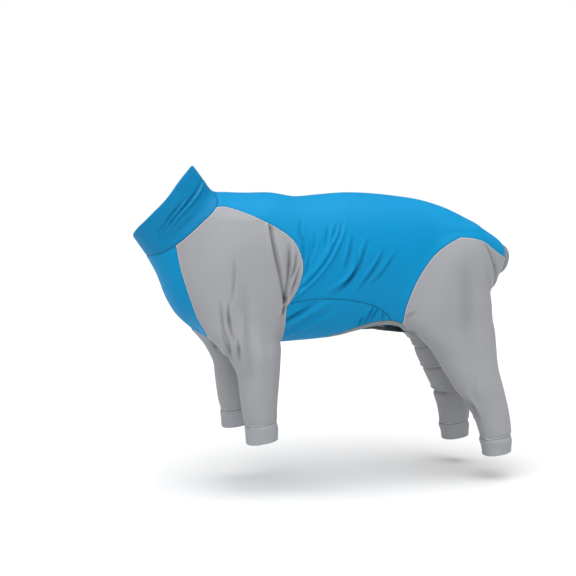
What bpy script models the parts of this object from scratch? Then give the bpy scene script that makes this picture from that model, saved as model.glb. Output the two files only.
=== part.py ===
"""Dog jumpsuit: a stretch jersey suit with a turtleneck collar, four sleeved legs with hemmed cuffs,
a bound opening under the belly and a bound tail hole. It keeps the form it has when worn, and is hollow.

Metres, +Z up. The suit faces -X and its left side faces -Y. The origin is on the middle of the back over
the withers, where a back carries the suit.
"""

import math

import bmesh
import bpy
import numpy as np
from mathutils import Matrix

# Sizes of the trunk
BACK_LENGTH = 0.600
CHEST_DEPTH = 0.290
CHEST_WIDTH = 0.212

# Sizes of the legs: how far they reach below the chest, how thick they are and how far apart they stand
FRONT_LEG_DROP = 0.176
HIND_LEG_DROP = 0.228
SLEEVE_WIDTH = 0.154
THIGH_WIDTH = 0.184
FRONT_CUFF_WIDTH = 0.060
HIND_CUFF_WIDTH = 0.059
FRONT_CUFF_HEIGHT = 0.036
HIND_CUFF_HEIGHT = 0.035
CUFF_SLOPE = 0.14
STANCE_WIDTH = 0.160
FRONT_STRIDE = 0.014
HIND_STRIDE = 0.022

# Sizes of the cloth and its edges
WALL = 0.0018
SEAM_GAP = 0.0004
BINDING_WIDTH = 0.013
TAIL_HOLE_WIDTH = 0.052
TAIL_BINDING_WIDTH = 0.009
BELLY_STRIP_WIDTH = 0.068
FOLD_DEPTH = 0.006
FOLD_WIDTH = 0.012

# Sizes of the mesh
GRAIN = 0.006
BLEND = 0.030
SHOWN_TRIANGLES = 2250
RING_SIDES = 28
ROW_STEPS = 6
FULLNESS = 2.25
OUTSIDE = 0.30
TRIM = 0.012

# The trunk's cross-sections from the collar's rim to the rump. Lengths along the back are shares of
# BACK_LENGTH, heights are shares of CHEST_DEPTH below the back, widths are shares of CHEST_WIDTH.
# top_x, top_z, bottom_x, bottom_z, width
TRUNK = (
    (-0.205, 0.215, -0.392, -0.225, 0.690),
    (-0.180, 0.162, -0.372, -0.279, 0.700),
    (-0.152, 0.085, -0.350, -0.345, 0.715),
    (-0.122, 0.010, -0.328, -0.414, 0.740),
    (-0.070, 0.000, -0.296, -0.540, 0.810),
    (-0.008, -0.004, -0.265, -0.705, 0.890),
    (0.067, -0.002, -0.220, -0.835, 0.950),
    (0.150, -0.018, -0.130, -0.962, 0.985),
    (0.235, -0.014, 0.000, -0.998, 1.000),
    (0.318, -0.004, 0.167, -0.990, 0.995),
    (0.403, -0.010, 0.317, -0.972, 0.965),
    (0.488, -0.028, 0.437, -0.980, 0.915),
    (0.575, -0.056, 0.550, -0.972, 0.870),
    (0.665, -0.114, 0.640, -0.918, 0.855),
    (0.753, -0.203, 0.710, -0.830, 0.780),
    (0.836, -0.302, 0.785, -0.745, 0.610),
    (0.872, -0.357, 0.838, -0.640, 0.440),
    (0.892, -0.400, 0.868, -0.570, 0.310),
)

# The legs' cross-sections from the top down. The height is depth x CHEST_DEPTH + drop x the leg's drop.
# middle is a share of BACK_LENGTH, width goes from the cuff's (0) to the sleeve's or thigh's (1),
# round is the side-to-side width over the fore-and-aft width, and out is a share of half the stance.
# step is how much of the stride the right leg takes.
# depth, drop, middle, width, round, out, step
FRONT_LEG = (
    (0.200, 0.000, -0.050, 0.150, 0.70, 0.640, 0.0),
    (0.340, 0.000, -0.050, 0.640, 0.66, 0.680, 0.0),
    (0.520, 0.000, -0.050, 1.060, 0.52, 0.740, 0.0),
    (0.700, 0.000, -0.055, 1.120, 0.52, 0.790, 0.1),
    (0.840, 0.000, -0.052, 0.960, 0.56, 0.850, 0.3),
    (0.930, 0.000, -0.044, 0.760, 0.63, 0.900, 0.6),
    (1.000, 0.000, -0.026, 0.570, 0.72, 0.940, 0.8),
    (1.000, 0.091, -0.016, 0.415, 0.80, 0.970, 0.9),
    (1.000, 0.267, -0.004, 0.215, 0.88, 0.990, 1.0),
    (1.000, 0.420, -0.003, 0.150, 0.91, 1.000, 1.0),
    (1.000, 0.580, -0.002, 0.090, 0.93, 1.000, 1.0),
    (1.000, 0.720, 0.000, 0.040, 0.93, 1.000, 1.0),
    (1.000, 0.790, 0.003, 0.000, 0.93, 1.000, 1.0),
    (1.000, 0.850, 0.005, 0.025, 0.93, 1.000, 1.0),
    (1.000, 0.920, 0.006, 0.010, 0.93, 1.000, 1.0),
    (1.000, 1.100, 0.008, -0.015, 0.93, 1.000, 1.0),
)
HIND_LEG = (
    (0.270, 0.000, 0.690, 0.100, 0.60, 0.560, 0.0),
    (0.345, 0.000, 0.679, 0.460, 0.60, 0.600, 0.0),
    (0.483, 0.000, 0.655, 0.810, 0.52, 0.670, -0.3),
    (0.645, 0.000, 0.634, 0.970, 0.49, 0.730, -0.7),
    (0.759, 0.000, 0.628, 0.990, 0.49, 0.770, -0.9),
    (0.855, 0.000, 0.630, 0.980, 0.47, 0.790, -1.0),
    (0.940, 0.000, 0.650, 0.850, 0.50, 0.810, -1.0),
    (1.000, 0.088, 0.687, 0.590, 0.63, 0.840, -0.7),
    (1.000, 0.241, 0.715, 0.440, 0.71, 0.880, -0.2),
    (1.000, 0.404, 0.743, 0.320, 0.78, 0.920, 0.0),
    (1.000, 0.535, 0.768, 0.200, 0.84, 0.950, 0.3),
    (1.000, 0.614, 0.781, 0.140, 0.88, 0.960, 0.6),
    (1.000, 0.706, 0.794, 0.080, 0.90, 0.970, 0.8),
    (1.000, 0.794, 0.801, 0.040, 0.92, 0.980, 0.9),
    (1.000, 0.845, 0.804, 0.010, 0.92, 0.980, 1.0),
    (1.000, 0.885, 0.805, 0.040, 0.92, 0.980, 1.0),
    (1.000, 0.960, 0.809, -0.010, 0.92, 0.980, 1.0),
    (1.000, 1.100, 0.812, -0.030, 0.92, 0.980, 1.0),
)

# Seams as the left side shows them. x is a share of BACK_LENGTH and z of CHEST_DEPTH, in all of them.
COLLAR_RIM = ((-0.160, 0.290), (-0.180, 0.162), (-0.212, 0.052), (-0.262, -0.088), (-0.320, -0.205),
              (-0.372, -0.279), (-0.420, -0.350))
COLLAR_SEAM = ((-0.116, 0.110), (-0.121, 0.010), (-0.127, -0.085), (-0.182, -0.197), (-0.272, -0.352),
               (-0.350, -0.420), (-0.390, -0.440))
SLEEVE_TOP_SEAM = ((-0.134, -0.095), (-0.097, -0.093), (-0.018, -0.152), (0.067, -0.245), (0.110, -0.334),
                   (0.128, -0.472), (0.110, -0.624), (0.078, -0.731))
SLEEVE_FRONT_SEAM = ((-0.158, -0.925), (-0.165, -0.893), (-0.187, -0.815), (-0.205, -0.728), (-0.240, -0.503),
                     (-0.258, -0.324))
FLANK_SEAM = ((0.080, -0.712), (0.130, -0.693), (0.185, -0.683), (0.293, -0.703), (0.377, -0.752),
              (0.427, -0.824), (0.450, -0.900))
THIGH_SEAM = ((0.477, -0.880), (0.480, -0.752), (0.513, -0.576), (0.573, -0.414), (0.648, -0.317),
              (0.688, -0.307), (0.747, -0.331), (0.800, -0.398), (0.860, -0.460))
# A line that the sleeves cover: the back's panel lies above it and the belly's below.
UNDER_SLEEVE = ((-1.000, -0.200), (-0.170, -0.200), (0.000, -0.400))

# The belly panel's strip between the front legs: x is a share of BACK_LENGTH, and half its width is a
# share of BELLY_STRIP_WIDTH.
# x, half width
BELLY_STRIP = ((-0.230, 0.950), (-0.165, 0.650), (-0.120, 0.520), (-0.060, 0.500), (0.030, 0.500), (0.070, 0.620),
               (0.100, 0.900))

# The belly opening's edge, left and right. x is a share of BACK_LENGTH, left_z, right_z and floor_z of
# CHEST_DEPTH, and left_y and right_y are shares of CHEST_WIDTH.
# x, left_y, left_z, right_y, right_z, floor_z
BELLY_OPENING = (
    (0.260, -0.160, -0.950, 0.140, -0.960, -1.100),
    (0.285, -0.340, -0.940, 0.230, -0.970, -1.100),
    (0.333, -0.520, -0.907, 0.270, -0.972, -1.100),
    (0.385, -0.560, -0.862, 0.280, -0.970, -1.100),
    (0.435, -0.540, -0.850, 0.280, -0.970, -1.100),
    (0.485, -0.430, -0.862, 0.260, -0.955, -1.080),
    (0.525, -0.270, -0.880, 0.220, -0.920, -1.030),
    (0.570, -0.170, -0.870, 0.160, -0.880, -1.005),
    (0.630, -0.110, -0.840, 0.110, -0.840, -0.985),
    (0.680, -0.070, -0.810, 0.070, -0.810, -0.970),
)

# Folds of the cloth as the side shows them: straight lines from one point to the next, ridges (height
# above 0) and creases (below 0). Heights and widths are shares of FOLD_DEPTH and FOLD_WIDTH, and the
# last two columns tell how strongly the left and the right side show the fold.
# x1, z1, x2, z2, height, width, left, right
FOLDS = (
    (0.025, -0.200, 0.050, -0.480, -0.90, 0.90, 1.0, 0.9),
    (0.050, -0.480, 0.066, -0.717, -1.30, 0.90, 1.0, 0.9),
    (-0.005, -0.230, 0.030, -0.560, 0.80, 1.70, 1.0, 0.8),
    (0.085, -0.324, 0.080, -0.600, 0.80, 1.00, 1.0, 0.6),
    (0.112, -0.410, 0.076, -0.690, -1.10, 0.80, 1.0, 1.0),
    (0.104, -0.560, 0.078, -0.700, 0.70, 0.80, 1.0, 0.7),
    (-0.083, -0.476, -0.097, -0.693, -0.45, 1.50, 1.0, 0.5),
    (-0.147, -0.848, -0.112, -1.010, -0.80, 0.90, 1.0, 1.0),
    (-0.123, -0.834, -0.095, -1.052, 0.80, 1.10, 1.0, 0.8),
    (-0.075, -0.972, -0.077, -1.100, -0.90, 0.90, 1.0, 0.9),
    (-0.050, -0.900, -0.045, -1.150, 0.50, 1.60, 1.0, 0.6),
    (0.268, -0.179, 0.237, -0.376, 0.70, 1.20, 1.0, 0.8),
    (0.237, -0.376, 0.200, -0.483, 0.85, 1.10, 1.0, 0.8),
    (0.200, -0.483, 0.093, -0.703, 1.00, 1.00, 1.0, 0.9),
    (0.225, -0.483, 0.115, -0.703, -0.90, 0.90, 1.0, 0.8),
    (0.325, -0.348, 0.277, -0.538, 0.75, 1.00, 1.0, 0.7),
    (0.277, -0.538, 0.222, -0.645, 0.85, 0.90, 1.0, 0.8),
    (0.302, -0.545, 0.235, -0.670, -0.70, 0.80, 1.0, 0.6),
    (0.358, -0.348, 0.315, -0.555, 0.60, 0.90, 1.0, 0.9),
    (0.315, -0.555, 0.243, -0.655, 0.80, 0.90, 1.0, 0.7),
    (0.395, -0.383, 0.347, -0.555, 0.60, 0.90, 1.0, 0.6),
    (0.347, -0.555, 0.293, -0.659, 0.75, 0.80, 1.0, 0.8),
    (0.428, -0.407, 0.380, -0.566, 0.60, 0.90, 1.0, 0.7),
    (0.065, -0.883, 0.253, -0.714, 0.70, 1.70, 1.0, 0.8),
    (0.130, -0.905, 0.285, -0.770, -0.45, 1.40, 1.0, 0.8),
    (0.327, -0.855, 0.370, -0.759, 0.60, 0.80, 1.0, 0.5),
    (0.383, -0.831, 0.423, -0.769, 0.55, 0.80, 1.0, 0.5),
    (0.743, -0.352, 0.757, -0.421, -0.90, 0.80, 1.0, 0.7),
    (0.757, -0.421, 0.780, -0.545, -1.10, 0.90, 1.0, 0.9),
    (0.610, -1.097, 0.648, -1.076, -0.30, 0.80, 0.5, 1.0),
    (0.657, -1.266, 0.703, -1.238, -0.35, 0.90, 0.4, 1.0),
    (0.672, -1.393, 0.725, -1.438, -0.50, 0.90, 0.5, 1.0),
    (-0.165, 0.059, -0.193, -0.048, -0.55, 0.80, 1.0, 1.0),
    (-0.193, -0.048, -0.248, -0.176, -0.60, 0.80, 1.0, 0.9),
    (-0.248, -0.176, -0.302, -0.290, -0.50, 0.80, 1.0, 0.9),
    (-0.230, -0.059, -0.255, -0.166, -0.45, 0.70, 1.0, 0.7),
    (-0.255, -0.166, -0.295, -0.252, -0.55, 0.70, 1.0, 0.8),
)
# Rounded swells of the cloth: the middle as shares of BACK_LENGTH, half of CHEST_WIDTH and CHEST_DEPTH,
# then the height and the reach as shares of FOLD_DEPTH and BACK_LENGTH.
# x, y, z, height, reach
SWELLS = (
    (0.500, 0.480, -0.960, 2.40, 0.080),
    (0.420, 0.520, -0.960, 1.20, 0.060),
    (0.150, 0.000, -0.020, -0.60, 0.060),
)

CLOTH_BLUE = (0.012, 0.235, 0.560, 1.0)
COLLAR_BLUE = (0.008, 0.180, 0.430, 1.0)
CLOTH_GREY = (0.350, 0.360, 0.385, 1.0)
BINDING_GREY = (0.190, 0.215, 0.230, 1.0)
CLOTH_ROUGHNESS = 0.62


def clear_scene():
    """Remove whatever the scene holds and make the two collections."""
    for item in list(bpy.data.objects):
        bpy.data.objects.remove(item, do_unlink=True)
    made = []
    for name in ("dog_jumpsuit", "cutters"):
        collection = bpy.data.collections.new(name)
        bpy.context.scene.collection.children.link(collection)
        made.append(collection)
    return made


def smooth_rows(rows, steps=ROW_STEPS):
    """Rows read from a smooth curve through the given rows, steps between each two of them."""
    table = np.array(rows, dtype=float)
    padded = np.vstack((2 * table[0] - table[1], table, 2 * table[-1] - table[-2]))
    made = []
    for k in range(len(table) - 1):
        before, start, end, after = padded[k:k + 4]
        for share in np.arange(steps) / steps:
            made.append(0.5 * (2 * start + (end - before) * share
                               + (2 * before - 5 * start + 4 * end - after) * share ** 2
                               + (3 * start - before - 3 * end + after) * share ** 3))
    return np.array(made + [table[-1]])


def trunk_rows():
    """The trunk's sections in metres: top x and z, bottom x and z, half width."""
    rows = smooth_rows(TRUNK)
    return rows * (BACK_LENGTH, CHEST_DEPTH, BACK_LENGTH, CHEST_DEPTH, CHEST_WIDTH / 2)


def leg_rows(rows, side, drop, full_width, cuff_width, stride):
    """A leg's sections in metres: z, middle x, middle y, half width fore and aft, half width across."""
    depth, share, middle, width, rounding, out, step = smooth_rows(rows).T
    height = -depth * CHEST_DEPTH - share * drop
    half = (cuff_width + width * (full_width - cuff_width)) / 2
    ahead = stride * step if side > 0 else 0 * step
    return np.stack((height, middle * BACK_LENGTH - ahead, side * out * STANCE_WIDTH / 2,
                     half, half * rounding), axis=1)


def all_legs():
    legs = []
    for side in (-1, 1):
        legs.append(leg_rows(FRONT_LEG, side, FRONT_LEG_DROP, SLEEVE_WIDTH, FRONT_CUFF_WIDTH, FRONT_STRIDE))
        legs.append(leg_rows(HIND_LEG, side, HIND_LEG_DROP, THIGH_WIDTH, HIND_CUFF_WIDTH, HIND_STRIDE))
    return legs


def round_distance(across, up, half_across, half_up):
    """Distance from a rounded outline, below 0 inside."""
    power = (np.abs(across / half_across) ** FULLNESS + np.abs(up / half_up) ** FULLNESS)
    reach = np.maximum(power, 1e-9) ** (1 / FULLNESS)
    span = np.hypot(across, up)
    inner = np.minimum(half_across, half_up)
    return np.where(reach > 0.2, span * (1 - 1 / np.maximum(reach, 0.2)), -inner * (1 - reach))


def join_ends(distance, beyond):
    """Distance once the ends are closed, rounded where they meet the side."""
    edge = BLEND / 2
    share = np.clip(0.5 + 0.5 * (distance - beyond) / edge, 0, 1)
    return beyond + (distance - beyond) * share + edge * share * (1 - share)


def trunk_distance(points, rows):
    x, y, z = points.T
    slope_x = rows[:, 2] - rows[:, 0]
    slope_z = rows[:, 3] - rows[:, 1]
    length = np.hypot(slope_x, slope_z)
    ahead = (slope_x[None] * (z[:, None] - rows[None, :, 1])
             - slope_z[None] * (x[:, None] - rows[None, :, 0])) / length[None]
    passed = np.clip((ahead > 0).sum(axis=1) - 1, 0, len(rows) - 2)
    index = np.arange(len(points))
    first = ahead[index, passed]
    second = ahead[index, passed + 1]
    share = np.clip(first / np.maximum(first - second, 1e-9), 0, 1)
    row = rows[passed] + share[:, None] * (rows[passed + 1] - rows[passed])
    half_depth = np.hypot(row[:, 2] - row[:, 0], row[:, 3] - row[:, 1]) / 2
    up_x = (row[:, 0] - row[:, 2]) / (2 * half_depth)
    up_z = (row[:, 1] - row[:, 3]) / (2 * half_depth)
    up = (x - (row[:, 0] + row[:, 2]) / 2) * up_x + (z - (row[:, 1] + row[:, 3]) / 2) * up_z
    side = round_distance(y, up, row[:, 4], half_depth)
    return join_ends(side, np.maximum(-ahead[:, 0], ahead[:, -1]))


def leg_distance(points, rows):
    x, y, z = points.T
    falling = -rows[:, 0]
    row = [np.interp(-z, falling, rows[:, k]) for k in range(1, 5)]
    side = round_distance(x - row[0], y - row[1], row[2], row[3])
    return join_ends(side, np.maximum(z - rows[0, 0], rows[-1, 0] - z))


def fold_height(points):
    """How far the folds and swells lift the cloth at each point."""
    x, y, z = points.T
    height = np.zeros(len(points))
    for x1, z1, x2, z2, rise, width, left, right in FOLDS:
        start = np.array((x1 * BACK_LENGTH, z1 * CHEST_DEPTH))
        run = np.array((x2 * BACK_LENGTH, z2 * CHEST_DEPTH)) - start
        along = np.clip(((x - start[0]) * run[0] + (z - start[1]) * run[1]) / (run @ run), 0, 1)
        away = np.hypot(x - start[0] - along * run[0], z - start[1] - along * run[1])
        strength = np.where(y < 0, left, right) * np.clip(np.abs(y) / (CHEST_WIDTH / 8), 0, 1)
        height += strength * rise * FOLD_DEPTH * np.exp(-(away / (width * FOLD_WIDTH)) ** 2)
    for mid_x, mid_y, mid_z, rise, reach in SWELLS:
        away = ((x - mid_x * BACK_LENGTH) ** 2 + (y - mid_y * CHEST_WIDTH / 2) ** 2
                + (z - mid_z * CHEST_DEPTH) ** 2)
        height += rise * FOLD_DEPTH * np.exp(-away / (reach * BACK_LENGTH) ** 2)
    return height


def skin_distance(points, trunk, legs):
    """Distance from the cloth's outer face: the trunk and the legs run smoothly into each other."""
    distance = trunk_distance(points, trunk)
    for rows in legs:
        other = leg_distance(points, rows)
        share = np.clip(0.5 + 0.5 * (other - distance) / BLEND, 0, 1)
        distance = other + (distance - other) * share - BLEND * share * (1 - share)
    return distance - fold_height(points)


def loft(mesh, rings):
    """Bridge rings of equally many points and close both ends."""
    rows = [[mesh.verts.new(point) for point in ring] for ring in rings]
    sides = len(rows[0])
    for near, far in zip(rows, rows[1:]):
        for k in range(sides):
            mesh.faces.new((near[k], near[(k + 1) % sides], far[(k + 1) % sides], far[k]))
    mesh.faces.new(rows[0][::-1])
    mesh.faces.new(rows[-1])


def oval(turn, half_across, half_up):
    """A point of a rounded outline."""
    across = math.cos(turn)
    up = math.sin(turn)
    power = 2 / FULLNESS
    return (math.copysign(abs(across) ** power, across) * half_across,
            math.copysign(abs(up) ** power, up) * half_up)


def body_rings(trunk):
    turns = [2 * math.pi * k / RING_SIDES for k in range(RING_SIDES)]
    rings = []
    for top_x, top_z, bottom_x, bottom_z, half_width in trunk[::ROW_STEPS // 2]:
        half_depth = math.hypot(top_x - bottom_x, top_z - bottom_z) / 2
        ring = []
        for turn in turns:
            across, up = oval(turn, half_width, half_depth)
            share = 0.5 + 0.5 * up / half_depth
            ring.append((bottom_x + share * (top_x - bottom_x), across, bottom_z + share * (top_z - bottom_z)))
        rings.append(ring)
    return rings


def leg_rings(rows):
    turns = [2 * math.pi * k / RING_SIDES for k in range(RING_SIDES)]
    rings = []
    for height, middle_x, middle_y, half_length, half_across in rows[::ROW_STEPS // 2]:
        ring = []
        for turn in turns:
            along, across = oval(turn, half_length, half_across)
            ring.append((middle_x + along, middle_y + across, height))
        rings.append(ring)
    return rings


def new_object(name, mesh, collection):
    made = bpy.data.objects.new(name, mesh)
    collection.objects.link(made)
    return made


def add_modifier(item, kind, **values):
    modifier = item.modifiers.new(kind.title(), kind)
    for key, value in values.items():
        setattr(modifier, key, value)
    return modifier


def apply_modifiers(item):
    """Give the object the mesh that its modifiers make."""
    graph = bpy.context.evaluated_depsgraph_get()
    mesh = bpy.data.meshes.new_from_object(item.evaluated_get(graph))
    item.modifiers.clear()
    item.data = mesh
    return item


def make_skin(collection):
    """The closed form of the worn suit, one surface over trunk and legs, with its folds."""
    trunk = trunk_rows()
    legs = all_legs()
    mesh = bmesh.new()
    loft(mesh, body_rings(trunk))
    for rows in legs:
        loft(mesh, leg_rings(rows))
    bmesh.ops.recalc_face_normals(mesh, faces=mesh.faces)
    data = bpy.data.meshes.new("skin")
    mesh.to_mesh(data)
    mesh.free()
    skin = new_object("skin", data, collection)
    add_modifier(skin, "REMESH", mode="VOXEL", voxel_size=GRAIN)
    apply_modifiers(skin)
    settle(skin.data, trunk, legs)
    add_modifier(skin, "TRIANGULATE")
    apply_modifiers(skin)
    add_modifier(skin, "DECIMATE", ratio=SHOWN_TRIANGLES / len(skin.data.polygons))
    apply_modifiers(skin)
    return skin


def settle(mesh, trunk, legs, rounds=6, step=0.0004):
    """Move a mesh's points along the slope onto the cloth's outer face."""
    points = np.empty(len(mesh.vertices) * 3)
    mesh.vertices.foreach_get("co", points)
    points = points.reshape(-1, 3)
    for _ in range(rounds):
        distance = skin_distance(points, trunk, legs)
        slope = np.empty_like(points)
        for axis in range(3):
            moved = points.copy()
            moved[:, axis] += step
            slope[:, axis] = (skin_distance(moved, trunk, legs) - distance) / step
        steep = np.maximum((slope ** 2).sum(axis=1), 0.25)
        move = np.clip(distance / steep, -GRAIN, GRAIN)
        points -= move[:, None] * slope
    mesh.vertices.foreach_set("co", points.ravel())
    mesh.update()


def placed(outline):
    """An outline's points in metres."""
    return [(x * BACK_LENGTH, z * CHEST_DEPTH) for x, z in outline]


def rounded(outline):
    """An outline's points in metres, on a smooth curve through them."""
    return [tuple(point) for point in smooth_rows(placed(outline), 2)]


def prism(name, outline, low, high, collection, grow=0.0, flat=False):
    """A solid with the given side outline, from y low to y high, grown by a margin all round.
    A flat one has the given outline as seen from above, from z low to z high."""
    points = np.array(outline)
    doubled = np.roll(points, -1, axis=0)
    turning = (points[:, 0] * doubled[:, 1] - doubled[:, 0] * points[:, 1]).sum()
    if turning < 0:
        points = points[::-1]
    ahead = np.roll(points, -1, axis=0) - points
    ahead /= np.linalg.norm(ahead, axis=1)[:, None]
    behind = np.roll(ahead, 1, axis=0)
    outward = np.stack((ahead[:, 1] + behind[:, 1], -ahead[:, 0] - behind[:, 0]), axis=1)
    outward /= np.maximum((outward ** 2).sum(axis=1)[:, None] / 2, 0.5)
    points = points + grow * outward
    curve = bpy.data.curves.new(name, "CURVE")
    curve.dimensions = "2D"
    curve.fill_mode = "BOTH"
    curve.extrude = (high - low) / 2 + grow
    spline = curve.splines.new("POLY")
    spline.points.add(len(points) - 1)
    for slot, (x, across) in zip(spline.points, points):
        slot.co = (x, across, 0, 1)
    spline.use_cyclic_u = True
    cutter = new_object(name, curve, collection)
    middle = (high + low) / 2
    if flat:
        cutter.matrix_world = Matrix.Translation((0, 0, middle))
    else:
        cutter.matrix_world = Matrix.Translation((0, middle, 0)) @ Matrix.Rotation(math.radians(90), 4, "X")
    return solid_cutter(cutter, collection)


def solid_cutter(shape, collection):
    """A mesh object in world coordinates from a curve or primitive object."""
    bpy.context.view_layer.update()
    graph = bpy.context.evaluated_depsgraph_get()
    mesh = bpy.data.meshes.new_from_object(shape.evaluated_get(graph))
    mesh.transform(shape.matrix_world)
    name = shape.name
    bpy.data.objects.remove(shape, do_unlink=True)
    welded = bmesh.new()
    welded.from_mesh(mesh)
    bmesh.ops.remove_doubles(welded, verts=welded.verts, dist=1e-6)
    bmesh.ops.recalc_face_normals(welded, faces=welded.faces)
    welded.to_mesh(mesh)
    welded.free()
    cutter = new_object(name, mesh, collection)
    cutter.hide_render = True
    cutter.display_type = "WIRE"
    return cutter


def opening_cutter(name, collection, width=0.0, gap=0.0):
    """The space of the belly opening, whose roof runs from the left edge down to the right edge.
    It is wider by the binding's width and by a gap, and lower only by the gap."""
    grow = width + gap
    rows = np.array(BELLY_OPENING) * (BACK_LENGTH, CHEST_WIDTH, CHEST_DEPTH, CHEST_WIDTH, CHEST_DEPTH, CHEST_DEPTH)
    rows[:, 1] -= grow
    rows[:, 2] += grow
    rows[:, 3] += grow
    rows[:, 4] += grow
    rows[:, 5] -= gap
    rows[0, 0] -= grow
    rows[-1, 0] += grow
    mesh = bmesh.new()
    loft(mesh, [((x, left_y, floor), (x, right_y, floor), (x, right_y, right_z), (x, left_y, left_z))
                for x, left_y, left_z, right_y, right_z, floor in smooth_rows(rows, 2)])
    bmesh.ops.recalc_face_normals(mesh, faces=mesh.faces)
    data = bpy.data.meshes.new(name)
    mesh.to_mesh(data)
    mesh.free()
    cutter = new_object(name, data, collection)
    cutter.hide_render = True
    cutter.display_type = "WIRE"
    return cutter


def sleeve_cutter(name, outline, side, collection, grow=0.0):
    """One side of the side outline, without the belly panel's strip between the legs."""
    cutter = prism(name, outline, *side_range(side, SEAM_GAP), collection, grow)
    strip = [(x * BACK_LENGTH, half * BELLY_STRIP_WIDTH) for x, half in BELLY_STRIP]
    strip = strip + [(x, -across) for x, across in reversed(strip)]
    between = prism(name + "_strip", strip, -2 * CHEST_DEPTH, -0.75 * CHEST_DEPTH, collection, -grow, flat=True)
    return cut(cutter, between, "DIFFERENCE")


def tail_cutter(name, collection, grow=0.0):
    """A rod along the tail, as wide as the tail hole."""
    top_x, top_z, bottom_x, bottom_z, _ = trunk_rows()[-1]
    middle = ((top_x + bottom_x) / 2, 0, (top_z + bottom_z) / 2)
    rod = bmesh.new()
    bmesh.ops.create_cone(rod, cap_ends=True, segments=RING_SIDES, radius1=TAIL_HOLE_WIDTH / 2 + grow,
                          radius2=TAIL_HOLE_WIDTH / 2 + grow, depth=BACK_LENGTH / 6)
    tilt = math.atan2(top_x - bottom_x, top_z - bottom_z)
    rod.transform(Matrix.Translation(middle) @ Matrix.Rotation(math.radians(90) + tilt, 4, "Y"))
    data = bpy.data.meshes.new(name)
    rod.to_mesh(data)
    rod.free()
    cutter = new_object(name, data, collection)
    cutter.hide_render = True
    cutter.display_type = "WIRE"
    return cutter


def cut(item, cutter, operation):
    """Cut the item. The thin shell folds over itself in the armpits, where EXACT loses it and MANIFOLD doesn't."""
    add_modifier(item, "BOOLEAN", operation=operation, solver="MANIFOLD", object=cutter)
    return apply_modifiers(item)


def cloth(name, colour):
    material = bpy.data.materials.new(name)
    material.use_nodes = True
    shader = material.node_tree.nodes["Principled BSDF"]
    shader.inputs["Base Color"].default_value = colour
    shader.inputs["Roughness"].default_value = CLOTH_ROUGHNESS
    shader.inputs["Metallic"].default_value = 0.0
    return material


def take_panel(shell, name, region, grown, colour, parts):
    """Cut one panel out of the suit and leave a seam gap behind it."""
    panel = new_object(name, shell.data.copy(), parts)
    cut(panel, region, "INTERSECT")
    cut(shell, grown, "DIFFERENCE")
    finish(panel, colour)
    return panel


def finish(panel, colour):
    add_modifier(panel, "TRIANGULATE")
    apply_modifiers(panel)
    panel.data.materials.clear()
    panel.data.materials.append(cloth(panel.name + "_cloth", colour))
    panel.data.polygons.foreach_set("use_smooth", [True] * len(panel.data.polygons))
    panel.data.update()


def leg_slab(rows, drop, low, high):
    """Side outline of the slab between two heights above a cuff's lower edge, which rises to the rear."""
    end = -CHEST_DEPTH - drop
    middle = rows[-1, 1]
    reach = (SLEEVE_WIDTH + THIGH_WIDTH) / 4
    rise = reach * CUFF_SLOPE
    return [(middle - reach, end + low - rise), (middle + reach, end + low + rise),
            (middle + reach, end + high + rise), (middle - reach, end + high - rise)]


def side_range(side, inner):
    """From a side's inner limit out past the cloth, as low and high y."""
    return (-OUTSIDE, -inner) if side < 0 else (inner, OUTSIDE)


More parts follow.
